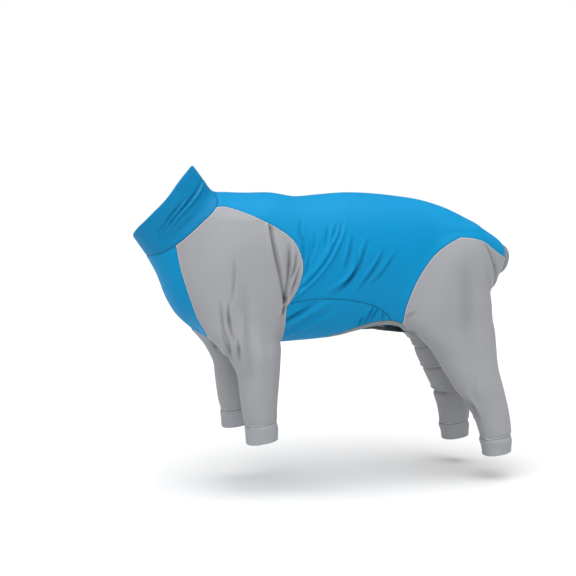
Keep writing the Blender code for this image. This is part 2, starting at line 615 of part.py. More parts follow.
def build():
    parts, cutters = clear_scene()
    shell = make_skin(cutters)
    add_modifier(shell, "SOLIDIFY", thickness=WALL, offset=-1)
    apply_modifiers(shell)
    legs = all_legs()
    floor = -CHEST_DEPTH - HIND_LEG_DROP - 3 * TRIM

    rim = rounded(COLLAR_RIM)
    above_rim = rim + [(-BACK_LENGTH, rim[-1][1]), (-BACK_LENGTH, CHEST_DEPTH), (rim[0][0], CHEST_DEPTH)]
    cut(shell, prism("above_collar", above_rim, -OUTSIDE, OUTSIDE, cutters), "DIFFERENCE")
    cut(shell, opening_cutter("belly_opening", cutters), "DIFFERENCE")
    cut(shell, tail_cutter("tail_hole", cutters), "DIFFERENCE")
    for rows, (drop, cuff_height) in zip(legs, 2 * ((FRONT_LEG_DROP, FRONT_CUFF_HEIGHT),
                                                    (HIND_LEG_DROP, HIND_CUFF_HEIGHT))):
        side = math.copysign(1, rows[0, 2])
        end = leg_slab(rows, drop, -2 * cuff_height, 0)
        cut(shell, prism("below_cuff", end, *side_range(side, 0), cutters), "DIFFERENCE")

    take_panel(shell, "tail_binding", tail_cutter("tail_ring", cutters, TAIL_BINDING_WIDTH),
               tail_cutter("tail_ring_grown", cutters, TAIL_BINDING_WIDTH + SEAM_GAP), BINDING_GREY, parts)
    take_panel(shell, "belly_binding", opening_cutter("belly_edge", cutters, BINDING_WIDTH),
               opening_cutter("belly_edge_grown", cutters, BINDING_WIDTH, SEAM_GAP), BINDING_GREY, parts)

    collar = rounded(COLLAR_SEAM) + [(-BACK_LENGTH, -CHEST_DEPTH / 2), (-BACK_LENGTH, CHEST_DEPTH),
                                     (COLLAR_SEAM[0][0] * BACK_LENGTH, CHEST_DEPTH)]
    take_panel(shell, "collar", prism("collar_side", collar, -OUTSIDE, OUTSIDE, cutters),
               prism("collar_side_grown", collar, -OUTSIDE, OUTSIDE, cutters, SEAM_GAP), COLLAR_BLUE, parts)

    names = ("front_{}_left", "hind_{}_left", "front_{}_right", "hind_{}_right")
    for rows, name, (drop, cuff_height) in zip(legs, names, 2 * ((FRONT_LEG_DROP, FRONT_CUFF_HEIGHT),
                                                                 (HIND_LEG_DROP, HIND_CUFF_HEIGHT))):
        side = math.copysign(1, rows[0, 2])
        name = name.format("cuff")
        slab = leg_slab(rows, drop, -cuff_height, cuff_height)
        low_y, high_y = side_range(side, 0)
        take_panel(shell, name, prism(name + "_side", slab, low_y, high_y, cutters),
                   prism(name + "_grown", slab, low_y, high_y, cutters, SEAM_GAP), CLOTH_GREY, parts)

    top_seam = rounded(SLEEVE_TOP_SEAM)
    armpit = top_seam[-1]
    front_seam = rounded(SLEEVE_FRONT_SEAM)
    sleeve = top_seam + [(armpit[0] + SEAM_GAP, -CHEST_DEPTH), (BACK_LENGTH / 6, -CHEST_DEPTH - FRONT_LEG_DROP / 3),
                         (BACK_LENGTH / 6, floor), (-BACK_LENGTH / 4, floor),
                         (-BACK_LENGTH / 4, -CHEST_DEPTH - TRIM)] + front_seam
    sleeve += [(front_seam[-1][0] - 2 * TRIM, armpit[1] / 3)]
    thigh = rounded(THIGH_SEAM) + [(BACK_LENGTH, THIGH_SEAM[-1][1] * CHEST_DEPTH), (BACK_LENGTH, floor),
                                   (THIGH_SEAM[0][0] * BACK_LENGTH, floor)]
    for side, word in ((-1, "left"), (1, "right")):
        take_panel(shell, "front_sleeve_" + word, sleeve_cutter("sleeve_" + word, sleeve, side, cutters),
                   sleeve_cutter("sleeve_grown_" + word, sleeve, side, cutters, SEAM_GAP), CLOTH_GREY, parts)
        low_y, high_y = side_range(side, SEAM_GAP / 2)
        back_by = HIND_STRIDE / 2 * (side + 1)
        moved = [(x + back_by, z) for x, z in thigh]
        take_panel(shell, "hind_leg_" + word, prism("thigh_" + word, moved, low_y, high_y, cutters),
                   prism("thigh_grown_" + word, moved, low_y, high_y, cutters, SEAM_GAP), CLOTH_GREY, parts)

    flank = rounded(FLANK_SEAM)
    back = flank + [(BACK_LENGTH, flank[-1][1]), (BACK_LENGTH, CHEST_DEPTH), (-BACK_LENGTH, CHEST_DEPTH)]
    back += placed(UNDER_SLEEVE)
    take_panel(shell, "back_panel", prism("back_side", back, -OUTSIDE, OUTSIDE, cutters),
               prism("back_side_grown", back, -OUTSIDE, OUTSIDE, cutters, SEAM_GAP), CLOTH_BLUE, parts)

    shell.name = "belly_panel"
    cutters.objects.unlink(shell)
    parts.objects.link(shell)
    finish(shell, CLOTH_BLUE)


build()
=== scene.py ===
"""Dog jumpsuit: the looks of the suit as it hangs when worn, in stretch jersey.

One fine skin is made from the suit's named sizes, settled on a smooth form, cut along its seams into the
panels, and each panel gets its folds, its rolled or bound edges, its stitches and its own jersey.
Metres, +Z up. The suit faces -X and its left side faces -Y.
"""

import math

import bmesh
import bpy
import numpy as np
from mathutils import Matrix, Vector
from mathutils.kdtree import KDTree


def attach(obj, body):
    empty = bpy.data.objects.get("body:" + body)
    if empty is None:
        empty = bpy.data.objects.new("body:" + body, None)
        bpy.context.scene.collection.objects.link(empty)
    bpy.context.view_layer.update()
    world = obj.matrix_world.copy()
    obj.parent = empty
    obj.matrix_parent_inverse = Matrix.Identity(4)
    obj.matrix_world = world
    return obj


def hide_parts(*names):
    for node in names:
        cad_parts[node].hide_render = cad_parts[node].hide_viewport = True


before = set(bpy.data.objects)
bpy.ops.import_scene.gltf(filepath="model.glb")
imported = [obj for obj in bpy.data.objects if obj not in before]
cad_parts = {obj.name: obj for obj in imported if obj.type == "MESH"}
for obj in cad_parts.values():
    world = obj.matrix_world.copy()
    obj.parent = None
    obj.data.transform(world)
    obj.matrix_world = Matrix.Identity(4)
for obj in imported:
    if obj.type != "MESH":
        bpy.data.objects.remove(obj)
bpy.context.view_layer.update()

MM = 0.001

# Camera: where it looks, from how far, and its lens on a 36 mm sensor
CAMERA_TURN = -15.0
CAMERA_TILT = 5.5
CAMERA_DISTANCE = 2.2
CAMERA_TARGET = (0.0763, 0.0, -0.186)
CAMERA_LENS = 70.875
FLOOR_Z = -0.570

# Studio: the sun's turn, height and softness in degrees, a low fill light from the camera's side, how
# much the white surround lights the suit, and the floor's grey
SUN_TURN = -30.0
SUN_HEIGHT = 73.0
SUN_STRENGTH = 4.8
SUN_SOFTNESS = 80.0
FILL_HEIGHT = 6.0
FILL_STRENGTH = 0.90
AMBIENT = 0.28
FLOOR_TONE = 0.70

# Sizes of the suit
BACK_LENGTH = 0.600
CHEST_DEPTH = 0.290
CHEST_WIDTH = 0.212
FRONT_LEG_DROP = 0.176
HIND_LEG_DROP = 0.228
SLEEVE_WIDTH = 0.154
THIGH_WIDTH = 0.184
FRONT_CUFF_WIDTH = 0.060
HIND_CUFF_WIDTH = 0.059
FRONT_CUFF_HEIGHT = 0.036
HIND_CUFF_HEIGHT = 0.035
CUFF_SLOPE = 0.14
STANCE_WIDTH = 0.160
FRONT_STRIDE = 0.014
HIND_STRIDE = 0.022
BINDING_WIDTH = 0.012
TAIL_HOLE_WIDTH = 0.052
TAIL_BINDING_WIDTH = 0.009
BELLY_STRIP_WIDTH = 0.068
SWELL_DEPTH = 0.006
TRIM = 0.012

# How deep and how wide the folds of each kind of panel are, as shares of what the fold tables say
FOLD_DEPTH = {"sleeve": 2.3, "body": 2.1, "belly": 2.6, "collar": 2.5, "hind": 1.8}
FOLD_WIDTH = {"sleeve": 1.0, "body": 1.0, "belly": 1.1, "collar": 0.95, "hind": 1.05}

# Stitches and their thread's tone, the lean of the collar's rim and half the width that it leans over,
# and how far the tail binding stands out
STITCH_LENGTH = 0.0024
STITCH_PITCH = 0.0034
STITCH_RADIUS = 0.00024
THREAD_TONE = 1.15
RIM_LEAN = 0.020
RIM_HALF_WIDTH = 0.070
TAIL_LIP = 0.010

# Folds, gathers and hems, in millimetres: how near the middle plane folds fade out, how far a fold's
# shoulder lies from it as a share of its width, how deep and how far up a leg gathers go, how far a
# hem or binding stands out, and how deep a leg's cloth dips at its cuff
MIDDLE_FADE = 26
SHOULDER_GAP = 1.7
GATHER_DEPTH = 0.70
GATHER_REACH = 9.0
HEM_RISE = 0.7
HEM_REACH = 2.4
CUFF_DIP = 1.5
CUFF_DIP_REACH = 3.0
SEAM_LOOPS = (0.5, 1.2, 2.2)

# Where a leg's cloth counts as near its cuff: so far from the leg's middle, so high above its end, and
# below this share of CHEST_DEPTH
LEG_REACH = 0.06
LEG_HEIGHT = 0.12
LEG_START = 1.05

# Sizes of the mesh
GRAIN = 0.0053
BLEND = 0.030
RING_SIDES = 28
RING_TURNS = [2 * math.pi * k / RING_SIDES for k in range(RING_SIDES)]
ROW_STEPS = 6
FULLNESS = 2.25
SEAM_GAP = 0.00015

# The trunk's cross-sections from the collar's rim to the rump. Lengths along the back are shares of
# BACK_LENGTH, heights are shares of CHEST_DEPTH, widths are shares of CHEST_WIDTH.
# top_x, top_z, bottom_x, bottom_z, width
TRUNK = (
    (-0.205, 0.215, -0.392, -0.225, 0.690),
    (-0.180, 0.162, -0.372, -0.279, 0.700),
    (-0.152, 0.085, -0.350, -0.345, 0.715),
    (-0.122, 0.010, -0.328, -0.414, 0.740),
    (-0.070, 0.000, -0.296, -0.540, 0.810),
    (-0.008, -0.004, -0.265, -0.705, 0.890),
    (0.067, -0.002, -0.220, -0.835, 0.950),
    (0.150, -0.018, -0.130, -0.962, 0.985),
    (0.235, -0.014, 0.000, -0.998, 1.000),
    (0.318, -0.004, 0.167, -0.990, 0.995),
    (0.403, -0.010, 0.317, -0.972, 0.965),
    (0.488, -0.028, 0.437, -0.980, 0.915),
    (0.575, -0.056, 0.550, -0.972, 0.870),
    (0.665, -0.114, 0.640, -0.918, 0.855),
    (0.753, -0.203, 0.710, -0.830, 0.780),
    (0.832, -0.300, 0.782, -0.745, 0.610),
    (0.863, -0.350, 0.831, -0.640, 0.440),
    (0.879, -0.390, 0.857, -0.565, 0.310),
)

# The legs' cross-sections from the top down. The height is depth x CHEST_DEPTH + drop x the leg's drop.
# middle is a share of BACK_LENGTH, width goes from the cuff's (0) to the sleeve's or thigh's (1),
# round is the side-to-side width over the fore-and-aft width, and out is a share of half the stance.
# step is how much of the stride the right leg takes.
# depth, drop, middle, width, round, out, step
FRONT_LEG = (
    (0.200, 0.000, -0.050, 0.150, 0.70, 0.640, 0.0),
    (0.340, 0.000, -0.050, 0.640, 0.66, 0.680, 0.0),
    (0.520, 0.000, -0.050, 1.060, 0.52, 0.740, 0.0),
    (0.700, 0.000, -0.055, 1.120, 0.52, 0.790, 0.1),
    (0.840, 0.000, -0.052, 0.960, 0.56, 0.850, 0.3),
    (0.930, 0.000, -0.044, 0.760, 0.63, 0.900, 0.6),
    (1.000, 0.000, -0.026, 0.570, 0.72, 0.940, 0.8),
    (1.000, 0.091, -0.016, 0.415, 0.80, 0.970, 0.9),
    (1.000, 0.267, -0.004, 0.215, 0.88, 0.990, 1.0),
    (1.000, 0.420, -0.003, 0.150, 0.91, 1.000, 1.0),
    (1.000, 0.580, -0.002, 0.090, 0.93, 1.000, 1.0),
    (1.000, 0.720, 0.000, 0.040, 0.93, 1.000, 1.0),
    (1.000, 0.790, 0.003, 0.000, 0.93, 1.000, 1.0),
    (1.000, 0.850, 0.005, 0.025, 0.93, 1.000, 1.0),
    (1.000, 0.920, 0.006, 0.010, 0.93, 1.000, 1.0),
    (1.000, 1.100, 0.008, -0.015, 0.93, 1.000, 1.0),
)
HIND_LEG = (
    (0.270, 0.000, 0.690, 0.100, 0.60, 0.560, 0.0),
    (0.345, 0.000, 0.679, 0.460, 0.60, 0.600, 0.0),
    (0.483, 0.000, 0.655, 0.810, 0.52, 0.670, -0.3),
    (0.645, 0.000, 0.634, 0.970, 0.49, 0.730, -0.7),
    (0.759, 0.000, 0.634, 1.000, 0.49, 0.770, -0.7),
    (0.855, 0.000, 0.641, 0.985, 0.47, 0.790, -0.7),
    (0.940, 0.000, 0.663, 0.855, 0.50, 0.810, -0.7),
    (1.000, 0.088, 0.695, 0.590, 0.63, 0.840, -0.5),
    (1.000, 0.241, 0.715, 0.440, 0.71, 0.880, -0.2),
    (1.000, 0.404, 0.743, 0.320, 0.78, 0.920, 0.0),
    (1.000, 0.535, 0.768, 0.200, 0.84, 0.950, 0.3),
    (1.000, 0.614, 0.781, 0.140, 0.88, 0.960, 0.6),
    (1.000, 0.706, 0.794, 0.080, 0.90, 0.970, 0.8),
    (1.000, 0.794, 0.801, 0.040, 0.92, 0.980, 0.9),
    (1.000, 0.845, 0.804, 0.010, 0.92, 0.980, 1.0),
    (1.000, 0.885, 0.805, 0.040, 0.92, 0.980, 1.0),
    (1.000, 0.960, 0.809, -0.010, 0.92, 0.980, 1.0),
    (1.000, 1.100, 0.812, -0.030, 0.92, 0.980, 1.0),
)

# Seams as the left side shows them. x is a share of BACK_LENGTH and z of CHEST_DEPTH, in all of them.
COLLAR_RIM = ((-0.160, 0.290), (-0.180, 0.162), (-0.212, 0.052), (-0.262, -0.088), (-0.320, -0.205),
              (-0.372, -0.279), (-0.420, -0.350))
COLLAR_SEAM = ((-0.116, 0.110), (-0.121, 0.010), (-0.127, -0.085), (-0.182, -0.197), (-0.272, -0.352),
               (-0.350, -0.420), (-0.390, -0.440))
SLEEVE_TOP_SEAM = ((-0.134, -0.095), (-0.097, -0.093), (-0.018, -0.152), (0.067, -0.245), (0.110, -0.334),
                   (0.128, -0.472), (0.110, -0.624), (0.078, -0.731))
SLEEVE_FRONT_SEAM = ((-0.158, -0.925), (-0.165, -0.893), (-0.187, -0.815), (-0.205, -0.728), (-0.240, -0.503),
                     (-0.258, -0.324))
FLANK_SEAM = ((0.080, -0.712), (0.130, -0.693), (0.185, -0.683), (0.293, -0.703), (0.377, -0.752),
              (0.427, -0.824), (0.450, -0.900))
THIGH_SEAM = ((0.477, -0.880), (0.480, -0.752), (0.513, -0.576), (0.573, -0.414), (0.648, -0.317),
              (0.688, -0.307), (0.747, -0.331), (0.800, -0.398), (0.860, -0.460))
UNDER_SLEEVE = ((-1.000, -0.200), (-0.170, -0.200), (0.000, -0.400))

# The belly panel's strip between the front legs: x is a share of BACK_LENGTH, and half its width is a
# share of BELLY_STRIP_WIDTH.
# x, half width
BELLY_STRIP = ((-0.230, 0.950), (-0.165, 0.650), (-0.120, 0.520), (-0.060, 0.500), (0.030, 0.500),
               (0.070, 0.620), (0.100, 0.900))

# The belly opening's edge, left and right. x is a share of BACK_LENGTH, left_z, right_z and floor_z of
# CHEST_DEPTH, and left_y and right_y are shares of CHEST_WIDTH.
# x, left_y, left_z, right_y, right_z, floor_z
BELLY_OPENING = (
    (0.262, -0.160, -0.965, 0.140, -0.965, -1.100),
    (0.285, -0.360, -0.950, 0.230, -0.970, -1.100),
    (0.312, -0.500, -0.912, 0.260, -0.972, -1.100),
    (0.340, -0.560, -0.884, 0.270, -0.972, -1.100),
    (0.372, -0.580, -0.858, 0.280, -0.970, -1.100),
    (0.405, -0.590, -0.844, 0.280, -0.970, -1.100),
    (0.440, -0.580, -0.846, 0.280, -0.970, -1.100),
    (0.475, -0.520, -0.880, 0.265, -0.960, -1.090),
    (0.500, -0.420, -0.940, 0.245, -0.945, -1.060),
    (0.525, -0.290, -0.935, 0.220, -0.920, -1.035),
    (0.570, -0.170, -0.880, 0.160, -0.880, -1.005),
    (0.630, -0.110, -0.840, 0.110, -0.840, -0.985),
    (0.680, -0.070, -0.810, 0.070, -0.810, -0.970),
)

# Rounded swells of the cloth: the middle as shares of BACK_LENGTH, half of CHEST_WIDTH and CHEST_DEPTH,
# then the height and the reach as shares of SWELL_DEPTH and BACK_LENGTH.
# x, y, z, height, reach
SWELLS = (
    (0.500, 0.480, -0.960, 2.40, 0.080),
    (0.420, 0.520, -0.960, 1.20, 0.060),
    (0.150, 0.000, -0.020, -0.60, 0.060),
)

# Folds, in millimetres, as lines on the suit's side. A rise above 0 is a ridge and below 0 a crease. The
# shoulder is a second line beside it, above 0 to the left of the line's run and below 0 to the right,
# as a share of the rise and of the other sign. start and end are the share of the rise at the two ends.
# rise, width, shoulder, start, end, left side, right side, points x and z
SLEEVE_FOLDS = (
    (-3.0, 3.1, -0.7, 0.9, 1.0, 1.0, 0.8,
     ((18, -60), (20, -84), (24, -114), (31, -145), (37, -176), (42, -205), (40, -222))),
    (2.2, 7.0, 0.0, 0.0, 0.6, 1.0, 0.8, ((27, -70), (34, -108), (39, -145), (43, -180), (44, -205))),
    (-3.4, 3.1, 0.45, 0.0, 1.0, 1.0, 0.9,
     ((52, -90), (52, -121), (50, -145), (47, -164), (44, -183), (42, -202))),
    (-3.4, 3.1, 0.45, 0.0, 1.0, 1.0, 0.7, ((66, -112), (61, -137), (55, -155), (49, -176), (44, -200))),
    (-3.0, 3.1, 0.45, 0.1, 1.0, 1.0, 0.9, ((69, -138), (63, -158), (55, -179), (46, -203))),
    (1.8, 4.0, 0.0, 0.1, 0.7, 1.0, 0.7, ((60, -100), (57, -130), (52, -158), (46, -190))),
    (1.5, 3.6, 0.0, 0.0, 0.7, 1.0, 0.8, ((68, -128), (61, -152), (53, -176), (45, -200))),
    (0.6, 2.6, 0.0, 0.0, 0.0, 1.0, 0.8, ((29, -80), (31, -108), (34, -135))),
    (0.7, 2.6, 0.0, 0.0, 0.0, 1.0, 0.6, ((39, -74), (41, -102), (42, -136))),
    (-1.2, 2.8, 0.5, 0.0, 0.0, 1.0, 0.4, ((-52, -112), (-52, -143), (-54, -168), (-57, -192), (-59, -212))),
    (-1.6, 2.6, 0.5, 0.0, 0.0, 1.0, 0.8, ((-78, -196), (-76, -222), (-74, -246), (-70, -271))),
    (0.8, 4.5, 0.0, 0.0, 0.3, 1.0, 0.6, ((-39, -212), (-38, -241), (-40, -262))),
    (-2.4, 2.4, -0.5, 0.1, 0.0, 1.0, 1.0,
     ((-78, -250), (-74, -266), (-66, -285), (-59, -302), (-53, -315))),
    (-1.5, 2.4, -0.5, 0.2, 0.5, 1.0, 0.9, ((-73, -250), (-66, -272), (-61, -292))),
    (-2.0, 2.8, 0.5, 0.1, 0.0, 1.0, 0.7, ((-48, -268), (-46, -291), (-45, -314))),
    (-2.4, 2.3, 0.5, 0.0, 0.0, 1.0, 0.6, ((-62, -196), (-64, -222), (-60, -250), (-54, -276))),
    (1.2, 12.0, 0.0, 0.0, 0.0, 1.0, 1.0, ((-12, -190), (-8, -260), (-4, -340), (-2, -400))),
    (-0.9, 9.0, 0.0, 0.0, 0.0, 1.0, 1.0, ((-36, -150), (-34, -220), (-28, -300), (-22, -380))),
    (0.5, 8.0, 0.0, 0.0, 0.0, 1.0, 1.0, ((15, -260), (16, -330), (16, -400))),
)
BODY_FOLDS = (
    (2.6, 3.2, -0.85, 0.0, 0.5, 1.0, 0.8,
     ((166, -50), (156, -79), (143, -103), (130, -125), (111, -149), (89, -171), (63, -192), (47, -206))),
    (2.0, 9.0, 0.0, 0.0, 0.6, 1.0, 0.8, ((150, -70), (128, -112), (104, -144), (76, -172), (52, -196))),
    (-1.2, 2.8, 0.5, 0.0, 0.0, 1.0, 0.7, ((148, -56), (141, -76), (131, -95))),
    (-1.5, 3.6, -0.7, 0.0, 0.0, 1.0, 0.6, ((177, -80), (170, -107), (164, -129), (156, -147))),
    (-2.0, 3.8, -0.8, 0.0, 0.2, 1.0, 0.8,
     ((188, -108), (180, -142), (167, -163), (144, -181), (130, -192))),
    (-2.1, 4.0, -0.8, 0.0, 0.2, 1.0, 0.7,
     ((209, -86), (197, -114), (187, -139), (174, -157), (155, -179), (140, -192))),
    (-1.7, 3.8, -0.8, 0.0, 0.2, 1.0, 0.9,
     ((242, -104), (227, -130), (214, -149), (200, -167), (187, -187))),
    (-1.2, 3.6, -0.8, 0.0, 0.1, 1.0, 0.6,
     ((268, -112), (251, -131), (238, -149), (221, -165), (208, -178))),
    (-1.1, 3.2, 0.5, 0.0, 0.0, 1.0, 0.6, ((131, -58), (124, -88), (120, -110))),
    (-1.4, 3.0, 0.6, 0.0, 0.2, 1.0, 0.8, ((79, -46), (75, -76), (80, -91), (78, -112))),
    (-1.6, 3.0, 0.6, 0.0, 0.3, 1.0, 0.8, ((80, -96), (79, -121), (73, -146))),
    (-1.4, 3.0, 0.6, 0.0, 0.4, 1.0, 0.7, ((90, -117), (84, -143), (77, -160))),
    (-0.9, 3.2, 0.6, 0.0, 0.0, 1.0, 0.5, ((104, -70), (100, -98), (94, -122))),
    (0.9, 2.6, -0.6, 0.4, 0.0, 1.0, 1.0, ((-63, 0), (-69, -12), (-79, -24))),
    (0.8, 2.4, -0.6, 0.4, 0.0, 1.0, 1.0, ((-56, -2), (-62, -11), (-69, -23))),
)
BELLY_FOLDS = (
    (2.2, 6.0, 0.5, 0.4, 0.1, 1.0, 0.8, ((40, -257), (72, -237), (102, -219), (134, -205))),
    (-1.6, 4.0, 0.5, 0.6, 0.1, 1.0, 0.8, ((42, -243), (77, -226), (104, -212))),
    (1.2, 5.0, 0.4, 0.4, 0.0, 1.0, 0.8, ((46, -272), (80, -258), (120, -240), (160, -222))),
    (-1.8, 2.8, 0.6, 0.6, 0.1, 1.0, 0.6, ((198, -260), (200, -246), (204, -236))),
    (-2.0, 2.8, 0.7, 0.6, 0.1, 1.0, 0.5, ((210, -252), (216, -231), (224, -216))),
    (-1.8, 2.6, 0.7, 0.6, 0.1, 1.0, 0.6, ((220, -246), (227, -229), (236, -218))),
    (-1.8, 2.6, 0.7, 0.6, 0.2, 1.0, 0.5, ((244, -246), (242, -228))),
)
COLLAR_FOLDS = (
    (1.8, 2.8, -0.9, 0.2, 0.3, 1.0, 1.0,
     ((-93, 20), (-108, 0), (-127, -21), (-147, -41), (-164, -62), (-178, -80))),
    (1.4, 2.6, -0.9, 0.0, 0.4, 1.0, 0.8, ((-132, -12), (-146, -30), (-158, -43), (-170, -59), (-180, -72))),
    (-0.7, 5.0, 0.0, 0.0, 0.2, 1.0, 1.0, ((-102, -26), (-124, -46), (-148, -68), (-170, -88))),
)
HIND_FOLDS = (
    (-3.6, 2.3, 0.6, 0.2, 0.6, 1.0, 0.9,
     ((452, -97), (464, -117), (472, -136), (480, -153), (484, -176), (482, -196))),
    (1.6, 4.2, 0.5, 0.0, 0.2, 1.0, 0.7, ((436, -136), (445, -161), (457, -186), (466, -214), (472, -248))),
    (-1.2, 14.0, 0.0, 0.0, 0.2, 1.0, 0.9,
     ((404, -122), (404, -170), (406, -210), (407, -252), (412, -300))),
    (0.8, 14.0, 0.0, 0.0, 0.2, 1.0, 0.9, ((360, -140), (352, -200), (356, -260), (376, -330))),
    (-1.3, 2.8, 0.4, 0.6, 0.0, 1.0, 0.8, ((288, -242), (297, -235), (306, -229))),
    (-2.4, 2.8, 0.8, 0.1, 0.4, 1.0, 0.3, ((410, -398), (421, -412), (431, -427), (440, -444))),
    (1.0, 6.0, 0.0, 0.0, 0.3, 1.0, 0.6, ((393, -370), (416, -402), (436, -436))),
    (0.9, 7.0, -0.6, 0.0, 0.2, 1.0, 0.9, ((434, -350), (441, -416), (451, -470))),
    (-1.8, 3.0, 0.6, 0.2, 0.6, 0.0, 0.6, ((340, -310), (362, -303), (384, -298))),
    (-2.4, 3.0, 0.6, 0.2, 0.7, 0.0, 0.6, ((350, -330), (368, -322), (392, -312))),
    (-2.6, 3.0, 0.6, 0.1, 0.7, 0.0, 0.65, ((374, -372), (396, -366), (424, -358))),
    (-2.8, 3.4, 0.7, 0.4, 0.6, 0.0, 0.65, ((386, -396), (404, -414), (422, -419), (442, -416))),
)
FOLDS = {"sleeve": SLEEVE_FOLDS, "body": BODY_FOLDS, "belly": BELLY_FOLDS, "collar": COLLAR_FOLDS,
         "hind": HIND_FOLDS}

# How each panel is made, in millimetres: its thickness, how far its cloth stands out (above 0) or dips
# (below 0) at a seam, how far from the seam that reaches, and how round its free edge is.
# node, sides, thickness, seam_rise, seam_reach, edge_round, slot, colour
ONE, BOTH = ("",), ("_left", "_right")
PANEL_KINDS = (
    ("collar", ONE, 2.2, -0.7, 2.6, 1.4, "collar_jersey", "collar"),
    ("back_panel", ONE, 1.5, -0.9, 2.8, 0.8, "body_jersey", "blue"),
    ("belly_panel", ONE, 1.5, -0.9, 2.8, 0.8, "body_jersey", "blue"),
    ("front_sleeve", BOTH, 1.5, 0.35, 2.4, 0.8, "sleeve_jersey", "grey"),
    ("hind_leg", BOTH, 1.5, 0.35, 2.4, 0.8, "sleeve_jersey", "grey"),
    ("front_cuff", BOTH, 2.4, -0.9, 3.0, 1.6, "cuff_jersey", "cuff"),
    ("hind_cuff", BOTH, 2.4, -0.9, 3.0, 1.6, "cuff_jersey", "cuff"),
    ("belly_binding", ONE, 2.6, -0.2, 2.0, 1.5, "binding_jersey", "binding"),
    ("tail_binding", ONE, 2.6, -0.2, 2.0, 1.5, "binding_jersey", "binding"),
)
PANELS = tuple((kind[0] + side, *kind[2:]) for kind in PANEL_KINDS for side in kind[1])

# The panels' names in order, and the labels for cloth cut away, the belly opening, the tail hole and the rest
PANEL_NAMES = tuple(row[0] for row in PANELS)
REMOVED, OPENING, TAIL_HOLE, REST = -1, -2, -3, -4

# Each jersey's linear colour, its gloss, its sheen, and how much paler (above 0: a painted highlight on the
# raised seam edge) or darker (below 0: painted shade in the seam's groove) its line along a seam is
JERSEYS = {
    "blue": ((0.000, 0.190, 0.395), 0.10, 0.20, -0.25),
    "collar": ((0.000, 0.155, 0.330), 0.12, 0.20, -0.35),
    "grey": ((0.248, 0.252, 0.266), 0.20, 0.15, 0.45),
    "cuff": ((0.245, 0.254, 0.268), 0.20, 0.15, -0.25),
    "binding": ((0.180, 0.203, 0.210), 0.20, 0.15, -0.15),
}

# Texture scales of the jersey: cloudy dye, flecks of yarn, patches of gloss, knitted rows and columns,
# fuzz, and the thread's twist; then the height of the knit and the tone of the painted shade at the bottom of
# a deep crease
DYE_SCALE = 9.0
FLECK_SCALE = 420.0
GLOSS_SCALE = 60.0
COLUMN_SCALE = 300.0
ROW_SCALE = 380.0
FUZZ_SCALE = 1400.0
TWIST_SCALE = 2500.0
KNIT_HEIGHT = 0.00012
CREASE_SHADE_TONE = 0.58


def smooth_rows(rows, steps=ROW_STEPS):
    """Rows read from a smooth curve through the given rows, steps between each two of them."""
    table = np.array(rows, dtype=float)
    padded = np.vstack((2 * table[0] - table[1], table, 2 * table[-1] - table[-2]))
    made = []
    for k in range(len(table) - 1):
        before, start, end, after = padded[k:k + 4]
        for share in np.arange(steps) / steps:
            made.append(0.5 * (2 * start + (end - before) * share
                               + (2 * before - 5 * start + 4 * end - after) * share ** 2
                               + (3 * start - before - 3 * end + after) * share ** 3))
    return np.array(made + [table[-1]])


def trunk_rows():
    """The trunk's sections in metres: top x and z, bottom x and z, half width."""
    return smooth_rows(TRUNK) * (BACK_LENGTH, CHEST_DEPTH, BACK_LENGTH, CHEST_DEPTH, CHEST_WIDTH / 2)


def leg_rows(rows, side, drop, full_width, cuff_width, stride):
    """A leg's sections in metres: z, middle x, middle y, half width fore and aft, half width across."""
    depth, share, middle, width, rounding, out, step = smooth_rows(rows).T
    height = -depth * CHEST_DEPTH - share * drop
    half = (cuff_width + width * (full_width - cuff_width)) / 2
    ahead = stride * step if side > 0 else 0 * step
    return np.stack((height, middle * BACK_LENGTH - ahead, side * out * STANCE_WIDTH / 2,
                     half, half * rounding), axis=1)


def all_legs():
    """The four legs' sections, the left pair first."""
    legs = []
    for side in (-1, 1):
        legs.append(leg_rows(FRONT_LEG, side, FRONT_LEG_DROP, SLEEVE_WIDTH, FRONT_CUFF_WIDTH, FRONT_STRIDE))
        legs.append(leg_rows(HIND_LEG, side, HIND_LEG_DROP, THIGH_WIDTH, HIND_CUFF_WIDTH, HIND_STRIDE))
    return legs


def round_distance(across, up, half_across, half_up):
    """Distance from a rounded outline, below 0 inside."""
    power = np.abs(across / half_across) ** FULLNESS + np.abs(up / half_up) ** FULLNESS
    reach = np.maximum(power, 1e-9) ** (1 / FULLNESS)
    span = np.hypot(across, up)
    inner = np.minimum(half_across, half_up)
    return np.where(reach > 0.2, span * (1 - 1 / np.maximum(reach, 0.2)), -inner * (1 - reach))


def join_ends(distance, beyond):
    """Distance once the ends are closed, rounded where they meet the side."""
    edge = BLEND / 2
    share = np.clip(0.5 + 0.5 * (distance - beyond) / edge, 0, 1)
    return beyond + (distance - beyond) * share + edge * share * (1 - share)


def trunk_distance(points, rows):
    """Distance from the trunk, whose sections follow each other along the back."""
    x, y, z = points.T
    slope_x = rows[:, 2] - rows[:, 0]
    slope_z = rows[:, 3] - rows[:, 1]
    length = np.hypot(slope_x, slope_z)
    ahead = (slope_x[None] * (z[:, None] - rows[None, :, 1])
             - slope_z[None] * (x[:, None] - rows[None, :, 0])) / length[None]
    passed = np.clip((ahead > 0).sum(axis=1) - 1, 0, len(rows) - 2)
    index = np.arange(len(points))
    first = ahead[index, passed]
    second = ahead[index, passed + 1]
    share = np.clip(first / np.maximum(first - second, 1e-9), 0, 1)
    row = rows[passed] + share[:, None] * (rows[passed + 1] - rows[passed])
    half_depth = np.hypot(row[:, 2] - row[:, 0], row[:, 3] - row[:, 1]) / 2
    up_x = (row[:, 0] - row[:, 2]) / (2 * half_depth)
    up_z = (row[:, 1] - row[:, 3]) / (2 * half_depth)
    up = (x - (row[:, 0] + row[:, 2]) / 2) * up_x + (z - (row[:, 1] + row[:, 3]) / 2) * up_z
    side = round_distance(y, up, row[:, 4], half_depth)
    return join_ends(side, np.maximum(-ahead[:, 0], ahead[:, -1]))


